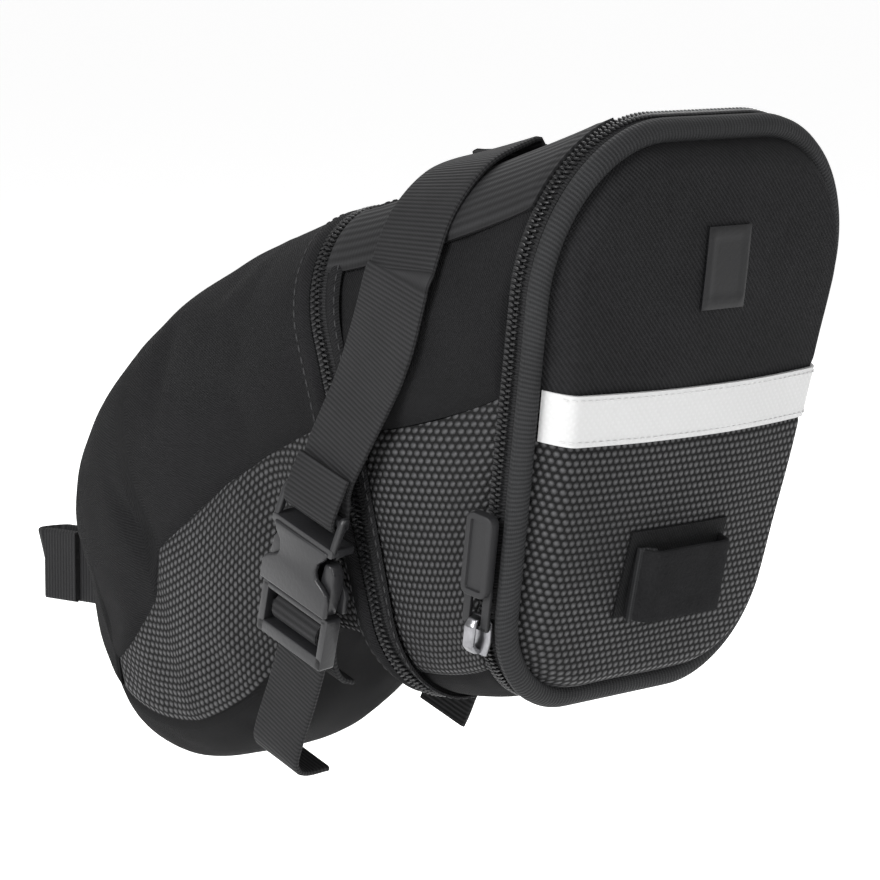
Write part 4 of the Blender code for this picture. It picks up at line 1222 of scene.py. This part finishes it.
class SADDLEBAG_OT_lid(bpy.types.Operator):
    """Makes the padded lid, its binding, reflective strip, light loop and plain patch"""

    bl_idname = "saddlebag.lid"
    bl_label = "Lid"

    def execute(self, context):
        edge = REAR_EDGE.half_height - PANEL_GROOVE
        for name, low, high, (finish, slot), seed in (
            ("lid_upper", STRIP_HIGH - STRIP_LAP, edge, PADDED, 11.0),
            ("lid_lower", -edge, STRIP_LOW + STRIP_LAP, DOTTED, 12.0),
        ):
            panel = lid_sheet(low, high, (72, 52), PAD_WALL, 0.0, PAD_RUMPLE, seed, PAD_HEM)
            obj = piece(name + "_cloth", panel, finish, "lid", (name + "_panel",))
        strip = lid_sheet(STRIP_LOW, STRIP_HIGH, (72, 10), STRIP_WALL, STRIP_PROUD, STRIP_RUMPLE, 13.0)
        nodes = ("reflective_strip",)
        obj = piece("reflective_strip_tape", strip, "reflector", "lid", nodes)
        width = 2 * LID_SPREAD * level_half_width(PANEL_OUTLINE, STRIP_HIGH)
        self.hem_stitches()
        self.binding()
        self.light_loop()
        self.patch()
        return {"FINISHED"}

    def hem_stitches(self):
        pitch = bpy.context.scene.saddle_bag_sizes.stitch * 0.8
        spots, count = [], 120
        for z in (STRIP_LOW + STRIP_HEM, STRIP_HIGH - STRIP_HEM):
            half = level_half_width(PANEL_OUTLINE, z) - 0.002
            across = [half * (2 * i / count - 1) for i in range(count + 1)]
            line = [at(REAR_EDGE, y * LID_SPREAD, z, lid_depth(y, z, 0.0008)) for y in across]
            spots += along_line(line, [ring_normal(REAR_EDGE)] * count, pitch)
        beads("reflective_strip_stitches", spots, "pale_thread", "lid", (0.0009, 0.00022, 0.00022))

    def binding(self):
        """The taped edge: a rounded roll from the groove to the zip."""
        rings = [grown(mouth_ring(depth), -inset) for inset, depth in BINDING_LINE]
        fades = [min((LID_DEPTH - depth) / BINDING_FADE, 1.0) for _, depth in BINDING_LINE]
        stretch = [1 + (LID_SPREAD - 1) * fade for fade in fades]
        bm, points, widths = ring_band(rings, WHOLE_RING, 220, BINDING_WALL, stretch=stretch)
        obj = piece("lid_binding_tape", bm, "binding", "lid", ("lid_binding",))
        declare(points, widths)

    def light_loop(self):
        low, high = LOOP_CENTRE - LOOP_WIDTH / 2, LOOP_CENTRE + LOOP_WIDTH / 2
        half, flat = LOOP_LENGTH / 2, LOOP_FLAT / 2
        sewn = half - (half - flat) / 3

        def seat(y):
            return max(crown_depth(y, low), crown_depth(y, high)) + SEAM_GAP

        def loop_web(knots, steps, width, wall):
            path = smooth_path([at(REAR_EDGE, y, LOOP_CENTRE, depth) for y, depth in knots], steps)
            return tube(web_profile(width, wall), web_frames(path, always(-ring_up(REAR_EDGE))))

        raised = seat(0.0) + LOOP_LIFT
        knots = [(-half, seat(half)), (-sewn, seat(sewn)), (-flat, raised), (-flat / 3, raised)]
        knots += [(-y, depth) for y, depth in knots[::-1]]
        web = loop_web(knots, 6, LOOP_WIDTH, WEB_THICKNESS)
        piece("light_loop_web", web, "pile", "lid", ("light_loop",))
        self.loop_backing(-half - BACKING_START, low)
        top = seat(half) + WEB_THICKNESS + 0.0001
        knots = [(-half - 0.0006, top - 0.0004), (-half + 0.0012, top)]
        knots += [(-half + 0.0024, top + 0.0004), (-half + 0.0042, top + 0.0020)]
        piece("light_loop_hem", loop_web(knots, 4, LOOP_WIDTH + 0.0006, 0.0010), "binding", "lid")
        line = [at(REAR_EDGE, -half + 0.0016, low + LOOP_WIDTH * i / 40, top + 0.0012) for i in range(41)]
        spots = along_line(line, [ring_normal(REAR_EDGE)] * 40, 0.0022)
        beads("light_loop_stitches", spots, "thread", "lid", (0.0008, 0.00024, 0.00024))

    def loop_backing(self, start, low):
        """The cloth under the light loop."""
        columns, rows = 24, 14
        points, flats = [], []
        for row in range(rows + 1):
            z = low + BACKING_WIDE * row / rows
            across = [start + BACKING_LONG * c / columns for c in range(columns + 1)]
            points.append([at(REAR_EDGE, y, z, crown_depth(y, z) + BACKING_LIFT) for y in across])
            flats.append([(LOOP_LENGTH * c / columns, LOOP_WIDTH * row / rows) for c in range(columns + 1)])
        obj = piece("light_loop_backing", cloth(points, flats, BACKING_WALL, away=BEHIND_LID), "cloth", "lid")

    def patch(self):
        """A plain moulded patch with a raised rim."""
        columns, rows = 12, 14
        points, flats = [], []
        for row in range(rows + 1):
            z = PATCH_CENTRE + PATCH_HEIGHT * (row / rows - 0.5)
            line = []
            for column in range(columns + 1):
                y = PATCH_WIDTH * (column / columns - 0.5)
                edge = min(PATCH_WIDTH / 2 - abs(y), PATCH_HEIGHT / 2 - abs(z - PATCH_CENTRE))
                rim = 0.0009 if edge > 0.0004 else 0.0004
                rim -= 0.0004 if edge > 0.0022 else 0.0
                line.append(at(REAR_EDGE, y, z, crown_depth(y, z) + SEAM_GAP + 0.0003 + rim))
            points.append(line)
            flats.append([(z, PATCH_WIDTH * c / columns) for c in range(columns + 1)])
        bm = cloth(points, flats, PATCH_WALL, away=BEHIND_LID)
        piece("badge_patch_moulding", bm, "badge", "lid", ("badge_patch",))


class SADDLEBAG_OT_zips(bpy.types.Operator):
    """Makes both zips: tapes, coils and the stitching beside them"""

    bl_idname = "saddlebag.zips"
    bl_label = "Zips"

    def execute(self, context):
        def expansion(depth):
            return shifted(EXPANSION, depth)

        def front_band(share):
            return front_ring(FRONT_BAND / FRONT_LENGTH * share)

        def rear_band(share):
            return rear_ring(1 - REAR_BAND / REAR_LENGTH * share)

        near, wide = ZIP_SPLIT / 2, ZIP_SPLIT / 2 + ZIP_HALF
        for node, body, ring_at, depths, places in (
            ("main_zip_lid", "lid", mouth_ring, LID_ZIP[::-1], ZIPPED_RING),
            ("main_zip_body", "rear_section", mouth_ring, BODY_ZIP, ZIPPED_RING),
            ("expansion_zip_rear", "rear_section", expansion, (near, wide), WHOLE_RING),
            ("expansion_zip_front", "front_section", expansion, (-near, -wide), WHOLE_RING),
        ):
            self.tape(node, body, ring_at, depths, places)
        self.coils("main_zip", "lid", "rear_section", mouth_ring, ZIP_MIDDLE, ZIPPED_RING)
        self.coils("expansion_zip", "front_section", "rear_section", expansion, 0.0, WHOLE_RING)
        self.band("expansion_zip_front_band", "front_section", front_band)
        self.band("expansion_zip_rear_band", "rear_section", rear_band)
        return {"FINISHED"}

    def tape(self, node, body, ring_at, depths, places):
        """Half of a zip's tape, from its coil to its sewn edge, which turns in under the cloth."""
        start, end = depths
        rings = [grown(ring_at(start + (end - start) * share), -inset) for share, inset in TAPE_LINE]
        bm, _, _ = ring_band(rings, places, 200, TAPE_WALL)
        piece(node + "_tape", bm, "zip_tape", body, (node,))

    def band(self, name, body, ring_at):
        """A flat tape sewn round the bag beside the coil, with a row of thread along its outer edge."""
        rows, rings = 8, []
        for share in (row / rows for row in range(rows + 1)):
            rise = BAND_LIFT * math.sin(math.pi / 2 * min(share * 2.0, 1.0))
            lift = rise - BAND_HEM * max(share - 0.85, 0.0) / 0.15
            rings.append(grown(ring_at(share), lift - BAND_SINK))
        bm, _, _ = ring_band(rings, WHOLE_RING, 240, TAPE_WALL)
        piece(name, bm, "cloth", body)
        line, outs = ring_line(grown(ring_at(BAND_STITCHES), 0.00115), *WHOLE_RING)
        spots = along_line(line, outs, bpy.context.scene.saddle_bag_sizes.stitch)
        beads(name + "_stitches", spots, "thread", body, (0.0011, 0.00024, 0.00022))

    def coils(self, name, first, second, ring_at, split, places):
        """Both rows of a zip's coil, the second shifted by half a tooth to mesh with the first."""
        pitch = bpy.context.scene.saddle_bag_sizes.tooth
        for number, (body, way) in enumerate(((first, -1), (second, 1))):
            ring = grown(ring_at(split + COIL_OFFSET * way), COIL_LIFT)
            points, outs = ring_line(ring, *places, 500)
            spots = [
                (place + along * (pitch * 0.5 * number), along, across, out)
                for place, along, across, out in along_line(points, outs, pitch)
            ]
            beads(f"{name}_coil_{body}", spots, "coil", body, COIL_BEAD, -COIL_TURN * way)


def side_frame(ring, z, side):
    lean = side_lean(ring)
    origin = at(ring, side * ((ring.top_half + ring.bottom_half) / 2 + z * math.tan(lean)), z)
    up = (ring_up(ring) * math.cos(lean) + Vector((0.0, side * math.sin(lean), 0.0))).normalized()
    outward = (Vector((0.0, side * math.cos(lean), 0.0)) - ring_up(ring) * math.sin(lean)).normalized()
    return Matrix.Translation(origin) @ Matrix((ring_normal(ring), outward, up)).transposed().to_4x4()


class SADDLEBAG_OT_sliders(bpy.types.Operator):
    """Makes the zip sliders and their moulded pullers"""

    bl_idname = "saddlebag.sliders"
    bl_label = "Sliders"

    def execute(self, context):
        self.slider("main", side_frame(mouth_ring(ZIP_MIDDLE), SLIDER_HEIGHT, NEAR))
        self.slider("expansion", side_frame(EXPANSION, EXPANSION_SLIDER_HEIGHT, FAR))
        return {"FINISHED"}

    def slider(self, name, matrix):
        """A slider's plate, seen from outside, and the bail over it, seen from the side."""
        body = [(-0.0030, -0.0052), (0.0030, -0.0052), (0.0042, -0.0010), (0.0042, 0.0040), (0.0026, 0.0052)]
        body += [(-0.0026, 0.0052), (-0.0042, 0.0040), (-0.0042, -0.0010)]
        plate = slab(body, SLIDER_BASE, SLIDER_BASE + SLIDER_WALL, matrix, SLIDER_BEVEL)
        turned = matrix @ Matrix.Rotation(math.pi / 2, 4, "Z")
        arch = [(0.0020, -0.0050), (0.0043, -0.0044), (0.0059, -0.0026), (0.0059, 0.0030), (0.0046, 0.0048)]
        arch += [(0.0020, 0.0052), (0.0020, 0.0037), (0.0036, 0.0033), (0.0043, 0.0022), (0.0043, -0.0018)]
        arch += [(0.0032, -0.0032), (0.0020, -0.0036)]
        bail = slab(arch, -BAIL_HALF, BAIL_HALF, turned, SLIDER_BEVEL)
        node = f"{name}_slider"
        piece(node + "_metal", joined([plate, bail]), "metal", node, (node,))
        self.puller(name, matrix)

    def puller(self, name, matrix):
        """A moulded tab with a sunk face, held on the bail's pin by two arms and a bar."""
        low, pin_top = PIN_OUT - PIN_RADIUS, PIN_OUT + PIN_RADIUS
        pin_low, pin_high = PIN_UP - PIN_RADIUS, PIN_UP + PIN_RADIUS
        start, end = PIN_UP + PULLER_START, PIN_UP + PULLER_END
        shape = oblong((-PULLER_HALF, start), (PULLER_HALF, end), 0.0022)
        tab = joined([slab(shape, low, PIN_OUT + PULLER_RISE, matrix, 0.0006, 3)])
        out = (matrix.to_3x3() @ Vector((0.0, 1.0, 0.0))).normalized()
        tab.normal_update()
        face = max(tab.faces, key=lambda f: f.normal.dot(out) * f.calc_area())
        bmesh.ops.inset_region(tab, faces=[face], thickness=0.0012, depth=0.0)
        bmesh.ops.inset_region(tab, faces=[face], thickness=0.0003, depth=-0.0006)
        rods = []
        for side in (NEAR, FAR):
            x0, x1 = sorted((side * 0.0019, side * PULLER_HALF))
            rods.append(oblong((x0, pin_low), (x1, start + 0.002)))
        rods.append(oblong((-0.0040, pin_low), (0.0040, pin_high)))
        made = joined([tab, *(slab(rod, low, pin_top, matrix, 0.0003) for rod in rods)])
        node = f"{name}_puller"
        piece(node + "_moulding", made, "rubber", node, (node,))


def buckle_axes():
    """The near buckle's place and axes: its top bar's lower edge, then across, outward and down."""
    (top_x, top_z), (foot_x, foot_z) = BUCKLE_TOP, BUCKLE_FOOT
    stand = BUCKLE_STAND + BUCKLE_DEEP
    top = Vector((top_x, -skin_half_width(top_x, top_z) - stand, top_z))
    foot = Vector((foot_x, -skin_half_width(foot_x, foot_z) - stand, foot_z))
    down = (foot - top).normalized()
    ahead = skin_half_width(top_x - WEB_WIDTH, top_z) - skin_half_width(top_x, top_z)
    slope = Vector((-WEB_WIDTH, -ahead, 0.0)).normalized()
    across = (slope - down * slope.dot(down)).normalized()
    outward = across.cross(down).normalized()
    return top, across, outward if outward.y < 0 else -outward, down


def buckle_matrix(side):
    top, across, outward, down = buckle_axes()
    if side == FAR:
        top, across, outward, down = (Vector((v.x, -v.y, v.z)) for v in (top, across, outward, down))
    return Matrix.Translation(top) @ Matrix((across, outward, down)).transposed().to_4x4()


def strap_knots():
    """The near strap's inner face, from its sewn end on top, down the side and round the socket's bar."""
    crown = top_height(0.0) - TOP_SAG
    ring = rear_ring(0.5)
    (shoulder, _), _ = corner_centres(ring)
    points = [Vector((0.0, y, crown + rise)) for y, rise in STRAP_SEWN]
    for degrees in (0, 25, 50, 72):
        turn = math.radians(degrees)
        bend = ring.top_radius + STRAP_GAP * (1 - 0.5 * math.sin(turn))
        drop = ring.top_radius - bend * math.cos(turn)
        points.append(Vector((-0.00003 * degrees, -shoulder - bend * math.sin(turn), crown - drop)))
    points += [Vector((x, -skin_half_width(x, z) - STRAP_STAND, z)) for x, z in STRAP_SIDE]
    top, _, outward, down = buckle_axes()
    bar = top - down * (BUCKLE_RAIL / 2)
    wrap = BAR_RADIUS + WEB_THICKNESS
    points += [bar - down * above - outward * wrap for above in (0.0110, 0.0030)]
    for turn in (0.0, 0.25, 0.5, 0.75, 1.0):
        angle = math.pi * turn
        points.append(bar - outward * (wrap * math.cos(angle)) + down * (wrap * math.sin(angle)))
    points.append(bar - down * 0.0030 + outward * (wrap * 0.85))
    points.append(bar - down * 0.0120 + outward * (0.0006 + WEB_THICKNESS - 0.0021))
    return points


class SADDLEBAG_OT_straps(bpy.types.Operator):
    """Makes the rail straps, their tails and the webs that anchor them"""

    bl_idname = "saddlebag.straps"
    bl_label = "Straps"

    def execute(self, context):
        _, buckle_across, _, _ = buckle_axes()
        half = WEB_WIDTH / 2
        rise = top_height(-half) - top_height(half)
        flare = skin_half_width(0.0, -0.04) - skin_half_width(-WEB_WIDTH, -0.04)
        on_top, on_side = Vector((-WEB_WIDTH, 0.0, rise)), Vector((-WEB_WIDTH, flare, 0.0))

        def across(share):
            if share < 0.3:
                return on_top.lerp(on_side, max(share - 0.12, 0.0) / 0.18)
            return on_side.lerp(buckle_across * WEB_WIDTH, min((share - 0.3) / 0.2, 1.0))

        def narrowing(share):
            return 1 - (1 - STRAP_NECK) * min(max((share - 0.44) / 0.12, 0.0), 1.0)

        frames = web_frames(smooth_path(strap_knots(), 10), across)
        for word, side in SIDES:
            placed = mirror_frames(frames, side)
            web = tube(web_profile(WEB_WIDTH, WEB_THICKNESS), placed, narrowing)
            obj = piece(f"rail_strap_{word}_web", web, "webbing", None, (f"rail_strap_{word}",))
            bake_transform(obj)
            self.fold_stitches(word, side, placed)
            self.tail(word, side)
            self.anchor(word, side)
        return {"FINISHED"}

    def fold_stitches(self, word, side, frames):
        """Two rows of thread across the strap's folded end."""
        spots = []
        for place, across, up in (frames[-3], frames[-6]):
            out = up if side == NEAR else -up
            for i in range(-5, 6):
                shift = WEB_WIDTH * STRAP_NECK * 0.086 * i
                spots.append((place + across * shift + up * 0.0017, across, out.cross(across), out))
        beads(f"rail_strap_{word}_stitches", spots, "thread", "front_section", (0.0006, 0.00022, 0.00022))

    def threaded(self, node, side, knots, body, lean=0.0):
        """Webbing along knots of (out, down) in the buckle's frame, leaning forwards below the plug."""
        matrix = buckle_matrix(side)
        sideways = (matrix.to_3x3() @ Vector((1.0, 0.0, 0.0))) * -side

        def level(share):
            return sideways.lerp(Vector((sideways.x, 0.0, 0.0)), share) if side == FAR else sideways

        spots = [Vector((lean * max(down - PLUG_END, 0.0), out, down)) for out, down in knots]
        path = smooth_path([matrix @ spot for spot in spots], 8)
        web = tube(web_profile(WEB_WIDTH * TAIL_NECK, WEB_THICKNESS), web_frames(path, level))
        piece(node + "_web", web, "webbing", body, (node,))

    def tail(self, word, side):
        """The free end: over the plug's bar, through its window, down behind its foot and turned in."""
        bar, foot, end = PLUG_BAR, PLUG_FOOT, PLUG_END
        knots = [(-0.0025, bar + 0.0012), (-0.0022, bar - 0.0006), (-0.0009, bar - 0.0010)]
        knots += [(0.0002, bar + 0.0003), (0.0002, bar + 0.0021), (-0.0014, bar + 0.0034)]
        knots += [(-0.0040, foot - 0.0004), (-0.0044, foot + 0.0024)]
        if side == NEAR:
            knots += [(-0.0045, end + 0.004), (-0.0045, end + 0.016), (-0.0040, end + 0.030)]
            knots += [(-0.0050, end + 0.0355), (-0.0085, end + 0.0382), (-0.0160, end + 0.0388)]
        else:
            knots += [(-0.0046, end + 0.004), (-0.0085, end + 0.0115), (-0.0170, end + 0.0175)]
            knots += [(-0.0260, end + 0.0205), (-0.0305, end + 0.0245), (-0.0315, end + 0.0330)]
        self.threaded(f"strap_tail_{word}", side, knots, f"plug_{word}", 0.14 if side == NEAR else 0.02)

    def anchor(self, word, side):
        """The web that holds the plug, from behind it to the seam of the base."""
        start, end = PLUG_START, PLUG_END
        knots = [(-0.0063, start + 0.003), (-0.0063, start + 0.009), (-0.0066, end - 0.003)]
        knots += [(-0.0080, end + 0.0025), (-0.0110, end + 0.0070), (-0.0150, end + 0.0090)]
        self.threaded(f"strap_anchor_{word}", side, knots, "front_section")


class SADDLEBAG_OT_buckles(bpy.types.Operator):
    """Makes the side-release buckles: sockets, plugs and springy prongs"""

    bl_idname = "saddlebag.buckles"
    bl_label = "Buckles"

    def execute(self, context):
        for word, side in SIDES:
            self.socket(word, buckle_matrix(side))
            self.plug(word, buckle_matrix(side))
        return {"FINISHED"}

    def socket(self, word, matrix):
        """Two face plates on a core, with a slotted top for the strap."""
        half, deep, neck, waist = BUCKLE_HALF, BUCKLE_DEEP, SOCKET_NECK, SOCKET_WAIST
        slot_end, end, plate = SOCKET_SLOT + BUCKLE_RAIL, SOCKET_END, BUCKLE_PLATE
        core = oblong((-0.0025, SOCKET_SLOT + 0.001), (0.0025, end - 0.001))
        lower_bar = oblong((-neck, SOCKET_SLOT), (neck, slot_end), 0.0008)
        parts = [
            slab(oblong((-neck, -BUCKLE_RAIL), (neck, 0.0)), -0.0012, 0.0012, matrix, 0.0006),
            slab(lower_bar, -deep, deep - 0.0006, matrix, 0.0008, 3),
            slab(core, -plate - 0.0005, plate + 0.0005, matrix, 0.0),
        ]
        rail = [(-0.0014, -0.0030), (0.0006, -0.0034), (0.0016, -0.0022)]
        rail += [(deep - 0.0007, SOCKET_SLOT + 0.0004), (deep - 0.0007, slot_end - 0.0006)]
        rail += [(deep - 0.0022, slot_end - 0.0006), (0.0000, 0.0010)]
        turned = matrix @ Matrix.Rotation(math.pi / 2, 4, "Z")
        for sign in (1, -1):
            low, high = sorted((sign * (neck - 0.0018), sign * neck))
            parts.append(slab(rail, low, high, turned, 0.0006, 3))
        right = [(neck - 0.0014, slot_end - 0.001), (neck - 0.0026, slot_end + 0.0015)]
        right += [(waist + 0.0006, end - 0.0135), (waist, end - 0.0110), (waist + 0.0008, end - 0.0092)]
        right += [(half - 0.0024, end - 0.0078), (half - 0.0006, end - 0.0066)]
        right += [(half, end - 0.0050), (half, end)]
        shape = right + [(-x, z) for x, z in right[::-1]]
        parts.append(slab(shape, plate, deep, matrix, 0.0006, 3))
        parts.append(slab(shape, -deep, -plate, matrix, 0.0005))
        node = f"buckle_socket_{word}"
        piece(node + "_moulding", joined(parts), "moulding", "front_section", (node,))

    def plug(self, word, matrix):
        """A frame round a window with a bar for the web, and two prongs that reach into the socket."""
        half, rail, plate = BUCKLE_HALF, BUCKLE_RAIL, BUCKLE_PLATE
        rims = (
            oblong((-half, PLUG_START), (half, PLUG_WINDOW)),
            oblong((-half, PLUG_START), (-half + rail, PLUG_END), 0.0009),
            oblong((half - rail, PLUG_START), (half, PLUG_END), 0.0009),
            oblong((-half, PLUG_FOOT), (half, PLUG_END), 0.0014),
        )
        parts = [slab(rim, -plate, plate, matrix, 0.0009, 3) for rim in rims]
        bar = oblong((-half + 0.001, PLUG_BAR), (half - 0.001, PLUG_BAR + 0.0022))
        parts.append(slab(bar, -plate / 2 - 0.0008, plate / 2 - 0.0010, matrix, 0.0005))
        node = f"buckle_plug_{word}"
        piece(node + "_moulding", joined(parts), "moulding", f"plug_{word}", (node,))
        root, thin = PLUG_START - 0.0003, plate - 0.0003
        shape = [(0.0078, root), (0.0114, root), (0.0126, root - 0.0085), (0.0122, root - 0.0125)]
        shape += [(0.0106, root - 0.0145), (0.0084, root - 0.0145), (0.0078, root - 0.0100)]
        for place, sign in (("front", 1), ("rear", -1)):
            arm = slab([(sign * x, z) for x, z in shape], -thin, thin, matrix, 0.0006, 3)
            node = f"buckle_prong_{word}_{place}"
            piece(node + "_moulding", arm, "moulding", f"prong_{word}_{place}", (node,))


class SADDLEBAG_OT_seatpost(bpy.types.Operator):
    """Makes the nose patch, the seatpost loop and its flap"""

    bl_idname = "saddlebag.seatpost"
    bl_label = "Seatpost loop"

    def execute(self, context):
        patch = shifted(NOSE_RINGS[-1], -SEAM_GAP)._replace(half_height=NOSE_PATCH_HALF)
        self.nose_patch(patch)
        face = shifted(patch, -NOSE_PATCH_RISE - SEAM_GAP)
        outside = POST_INSIDE + WEB_THICKNESS
        bend = outside - POST_REACH

        def ahead(y, depth):
            return at(face, y, -POST_DROP) + Vector((depth, 0.0, 0.0))

        def post_web(node, path, steps, up, body):
            frames = web_frames(smooth_path(path, steps), always(up))
            web = tube(web_profile(POST_WEB, WEB_THICKNESS), frames)
            piece(node + "_web", web, "webbing", body, (node,))

        path = [ahead(-POST_INSIDE, bend * share) for share in (0.0, 0.35, 0.7)]
        for i in range(9):
            turn = math.pi * i / 8
            path.append(ahead(-POST_INSIDE * math.cos(turn), bend - POST_INSIDE * math.sin(turn)))
        path += [ahead(POST_INSIDE, bend * share) for share in (0.7, 0.35, 0.0)]
        post_web("seatpost_loop", path, 3, ring_up(face), "front_section")
        near = -outside - SEAM_GAP
        path = [ahead(near, bend + FLAP_LENGTH * share) for share in (0.0, 0.5, 1.0)]
        post_web("seatpost_flap", path, 5, -ring_up(face), "seatpost_flap")
        return {"FINISHED"}

    def nose_patch(self, patch):
        """A small domed patch that closes the nose."""
        columns, rows = 48, 8
        points, flats = [], []
        for row in range(rows + 1):
            dome = NOSE_PATCH_RISE * math.sin(math.pi / 2 * row / rows)
            ring = grown(shifted(patch, -dome), -NOSE_PATCH_ROUND * (row / rows) ** 2)
            radii = {key: max(getattr(ring, key), 0.0004) for key in ("top_radius", "bottom_radius")}
            line, width = spread(ring._replace(**radii), *WHOLE_RING, columns)
            points.append(line)
            flats.append([(0.003 * row, width * c / columns) for c in range(columns + 1)])
        bm = cloth(points, flats, 0.0, away=at(patch, 0, 0, 0.1))
        closed(bm)
        piece("nose_patch_cloth", bm, "base", "front_section", ("nose_patch",))


class SADDLEBAG_OT_inside(bpy.types.Operator):
    """Makes both stiffeners and the gusset"""

    bl_idname = "saddlebag.inside"
    bl_label = "Inside"

    def execute(self, context):
        self.lid_board()
        self.base_board()
        self.gusset()
        return {"FINISHED"}

    def gusset(self):
        """The sleeve that joins both sections, with shallow folds round it."""
        front = shifted(EXPANSION, -EXPANSION_SEAT)
        rear = grown(shifted(EXPANSION, GUSSET_REACH), -GUSSET_SLOPE)
        rows, rings = 18, []
        for row in range(rows + 1):
            fold = GUSSET_FOLD * math.sin(row * math.pi / 3)
            rings.append(grown(blended(front, rear, row / rows), -GUSSET_INSET + fold - GUSSET_FOLD))
        bm, points, widths = ring_band(rings, WHOLE_RING, 120, GUSSET_WALL, 240)
        nodes = ("expansion_gusset",)
        obj = piece("expansion_gusset_cloth", bm, "lining", "front_section", nodes)
        declare(points, widths)

    def lid_board(self):
        """The stiffener behind the lid's padding, with rounded edges."""
        points, _ = spread(grown(REAR_EDGE, -LID_BOARD_INSET), *WHOLE_RING, 96)
        bm = extruded(points[:-1], ring_normal(REAR_EDGE) * -LID_BOARD_WALL)
        bmesh.ops.translate(bm, verts=bm.verts[:], vec=ring_normal(REAR_EDGE) * -SEAM_GAP)
        rims = [edge for edge in bm.edges if any(len(f.verts) > 4 for f in edge.link_faces)]
        soften(bm, rims, 0.0004)
        piece("lid_board_plate", bm, "board", "lid", ("lid_board",))

    def base_board(self):
        """The stiffener, bent up with the base."""
        columns, rows = 20, 40
        first, last = BOARD_REACH
        points, flats = [], []
        for row in range(rows + 1):
            share = first + (last - first) * row / rows
            ring = grown(front_ring(share), -BASE_BOARD_INSET)
            line, width = spread(ring, FOOT_END, AROUND - FOOT_END, columns)
            points.append([point + ring_up(ring) * base_pull(share) for point in line])
            flats.append([(width * c / columns, FRONT_LENGTH * share) for c in range(columns + 1)])
        bm = cloth(points, flats, BASE_BOARD_WALL)
        piece("base_board_plate", bm, "board", "front_section", ("base_board",))


class SADDLEBAG_PT_pieces(bpy.types.Panel):
    """Lists the bag's pieces, sizes and colours"""

    bl_idname = "SADDLEBAG_PT_pieces"
    bl_label = "Saddle Bag"
    bl_space_type = "VIEW_3D"
    bl_region_type = "UI"
    bl_category = "Saddle Bag"

    def draw(self, context):
        for group in (context.scene.saddle_bag_sizes, context.scene.saddle_bag_colours):
            for name in group.bl_rna.properties.keys():
                if name not in ("rna_type", "name"):
                    self.layout.prop(group, name)
        for operator in OPERATORS:
            self.layout.operator(operator.bl_idname)


OPERATORS = (
    SADDLEBAG_OT_stage,
    SADDLEBAG_OT_front_section,
    SADDLEBAG_OT_rear_section,
    SADDLEBAG_OT_lid,
    SADDLEBAG_OT_zips,
    SADDLEBAG_OT_sliders,
    SADDLEBAG_OT_straps,
    SADDLEBAG_OT_buckles,
    SADDLEBAG_OT_seatpost,
    SADDLEBAG_OT_inside,
)
CLASSES = (BagColours, BagSizes, *OPERATORS, SADDLEBAG_PT_pieces)


def register():
    for cls in CLASSES:
        bpy.utils.register_class(cls)
    bpy.types.Scene.saddle_bag_colours = bpy.props.PointerProperty(type=BagColours)
    bpy.types.Scene.saddle_bag_sizes = bpy.props.PointerProperty(type=BagSizes)


def unregister():
    del bpy.types.Scene.saddle_bag_sizes
    del bpy.types.Scene.saddle_bag_colours
    for cls in reversed(CLASSES):
        bpy.utils.unregister_class(cls)


def main():
    register()
    make_finishes()
    for operator in OPERATORS:
        group, name = operator.bl_idname.split(".")
        getattr(getattr(bpy.ops, group), name)()


if __name__ == "__main__":
    main()
